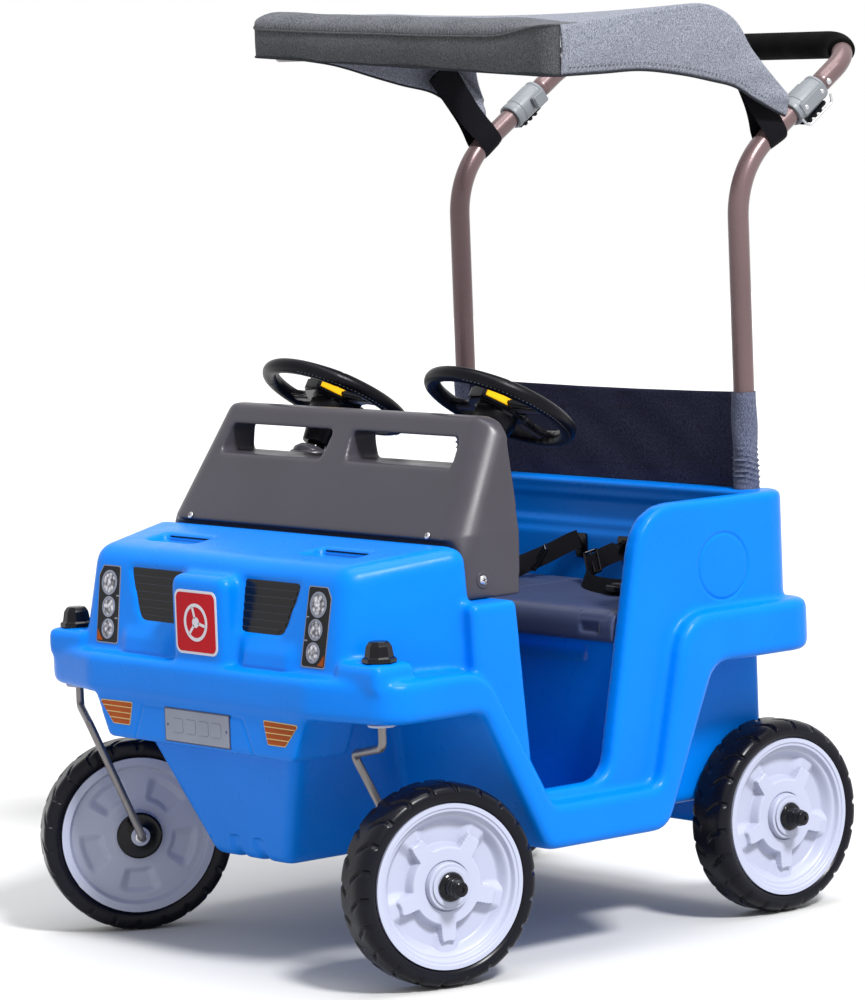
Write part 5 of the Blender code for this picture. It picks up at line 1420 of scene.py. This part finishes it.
def belt_adjuster(side, sign):
    """Three-bar slide where the lap strap doubles back."""
    middle = Vector((sign * 0.0475, 0.1640, 0.4235))
    seat = facing(middle, (sign * 0.35, -0.80, 0.48), (sign * 0.55, -0.35, -0.76))
    parts = []
    for a in (-0.0085, 0.0, 0.0085):
        bar = [seat @ Vector((a, b, 0.0030)) for b in np.linspace(-0.0150, 0.0150, 12)]
        parts.append(paint(sweep("bar", bar, 0.0016, 14), BLACK))
    for b in (-0.0150, 0.0150):
        rail = [seat @ Vector((a, b, 0.0030)) for a in np.linspace(-0.0085, 0.0085, 10)]
        parts.append(paint(sweep("rail", rail, 0.0019, 14), BLACK))
    # A thin bright bar sunk into the top of the front rail: a painted glint on the black slide, not a real
    # part.
    painted_glint_path = [seat @ Vector((a, -0.0150, 0.0046)) for a in np.linspace(-0.0060, 0.0060, 8)]
    parts.append(paint(sweep("pin", painted_glint_path, 0.0006, 10), BRIGHT))
    parts.append(paint(slab("pad", rectangle(0.0100, 0.0125, 0.002), seat, 0.0008, 0.0026, 0.0006), WEBBING))
    slide = join("belt_slide_" + side, parts)
    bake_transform(slide)


# ---------------------------------------------------------------- stage
def floor_and_light():
    half_floor = 9.0
    x = np.linspace(-half_floor, half_floor, 37)
    points = np.array([[(a, b, -0.0004) for b in x] for a in x])
    floor = grid_object("floor", points)
    material, tree, shader = shader_of("floor_white")
    shade = ramp(tree, object_noise(tree, 3.0, 2.0),
                 [(0.3, (0.455, 0.455, 0.455)), (0.7, (0.465, 0.465, 0.465))])
    tree.links.new(shade, shader.inputs["Base Color"])
    shader.inputs["Roughness"].default_value = 0.8
    floor.data.materials.append(material)
    world = bpy.data.worlds.new("studio")
    world.use_nodes = True
    world.node_tree.nodes["Background"].inputs["Color"].default_value = (1.0, 1.0, 1.0, 1.0)
    world.node_tree.nodes["Background"].inputs["Strength"].default_value = 1.0
    bpy.context.scene.world = world
    suns = (("key", (3.0, -0.4, 3.4), 4.6, 10.0), ("top", (0.2, 0.3, 3.0), 2.0, 40.0))
    for name, spot, strength, angle in suns:
        light = bpy.data.lights.new(name, "SUN")
        light.energy = strength
        light.angle = math.radians(angle)
        lamp = link(bpy.data.objects.new(name, light))
        lamp.matrix_world = facing(spot, Vector(spot))


def camera():
    yaw, pitch, roll = (math.radians(angle) for angle in (50.56, 4.74, -2.20))
    ahead = Vector((-math.sin(yaw) * math.cos(pitch), math.cos(yaw) * math.cos(pitch), -math.sin(pitch)))
    level = Vector((math.cos(yaw), math.sin(yaw), 0.0))
    rise = level.cross(ahead)
    right = level * math.cos(roll) + rise * math.sin(roll)
    up = rise * math.cos(roll) - level * math.sin(roll)
    data = bpy.data.cameras.new("camera")
    data.sensor_width = 36.0
    data.lens = 179.8
    data.shift_x = 0.0334
    data.shift_y = -0.0740
    data.clip_end = 60.0
    obj = link(bpy.data.objects.new("camera", data))
    turn = Matrix((right, up, -ahead)).transposed().to_4x4()
    obj.matrix_world = Matrix.Translation(Vector((4.562, -3.847, 1.100)) + SET_DOWN) @ turn
    bpy.context.scene.camera = obj
    bpy.context.scene.view_settings.view_transform = "Standard"


body_skin()
windshield_skin()
seat_skin()
hood_scoop_shade_strips()
badge()
number_plate()
for side, sign in SIDES:
    headlight(side, sign)
    grille(side, sign)
    fog_light(side, sign)
    steering(side, sign)
    caster(side, sign)
    canopy_strap(side, sign)
wheels()
fasteners()
handle()
wire_frame()
canopy()
back_panel()
belts()
cad_nodes = list(frame["nodes"].values())
for obj in bpy.context.scene.objects:
    if obj.type == "MESH" and obj not in cad_nodes:
        obj.data.transform(Matrix.Translation(SET_DOWN))
floor_and_light()
camera()
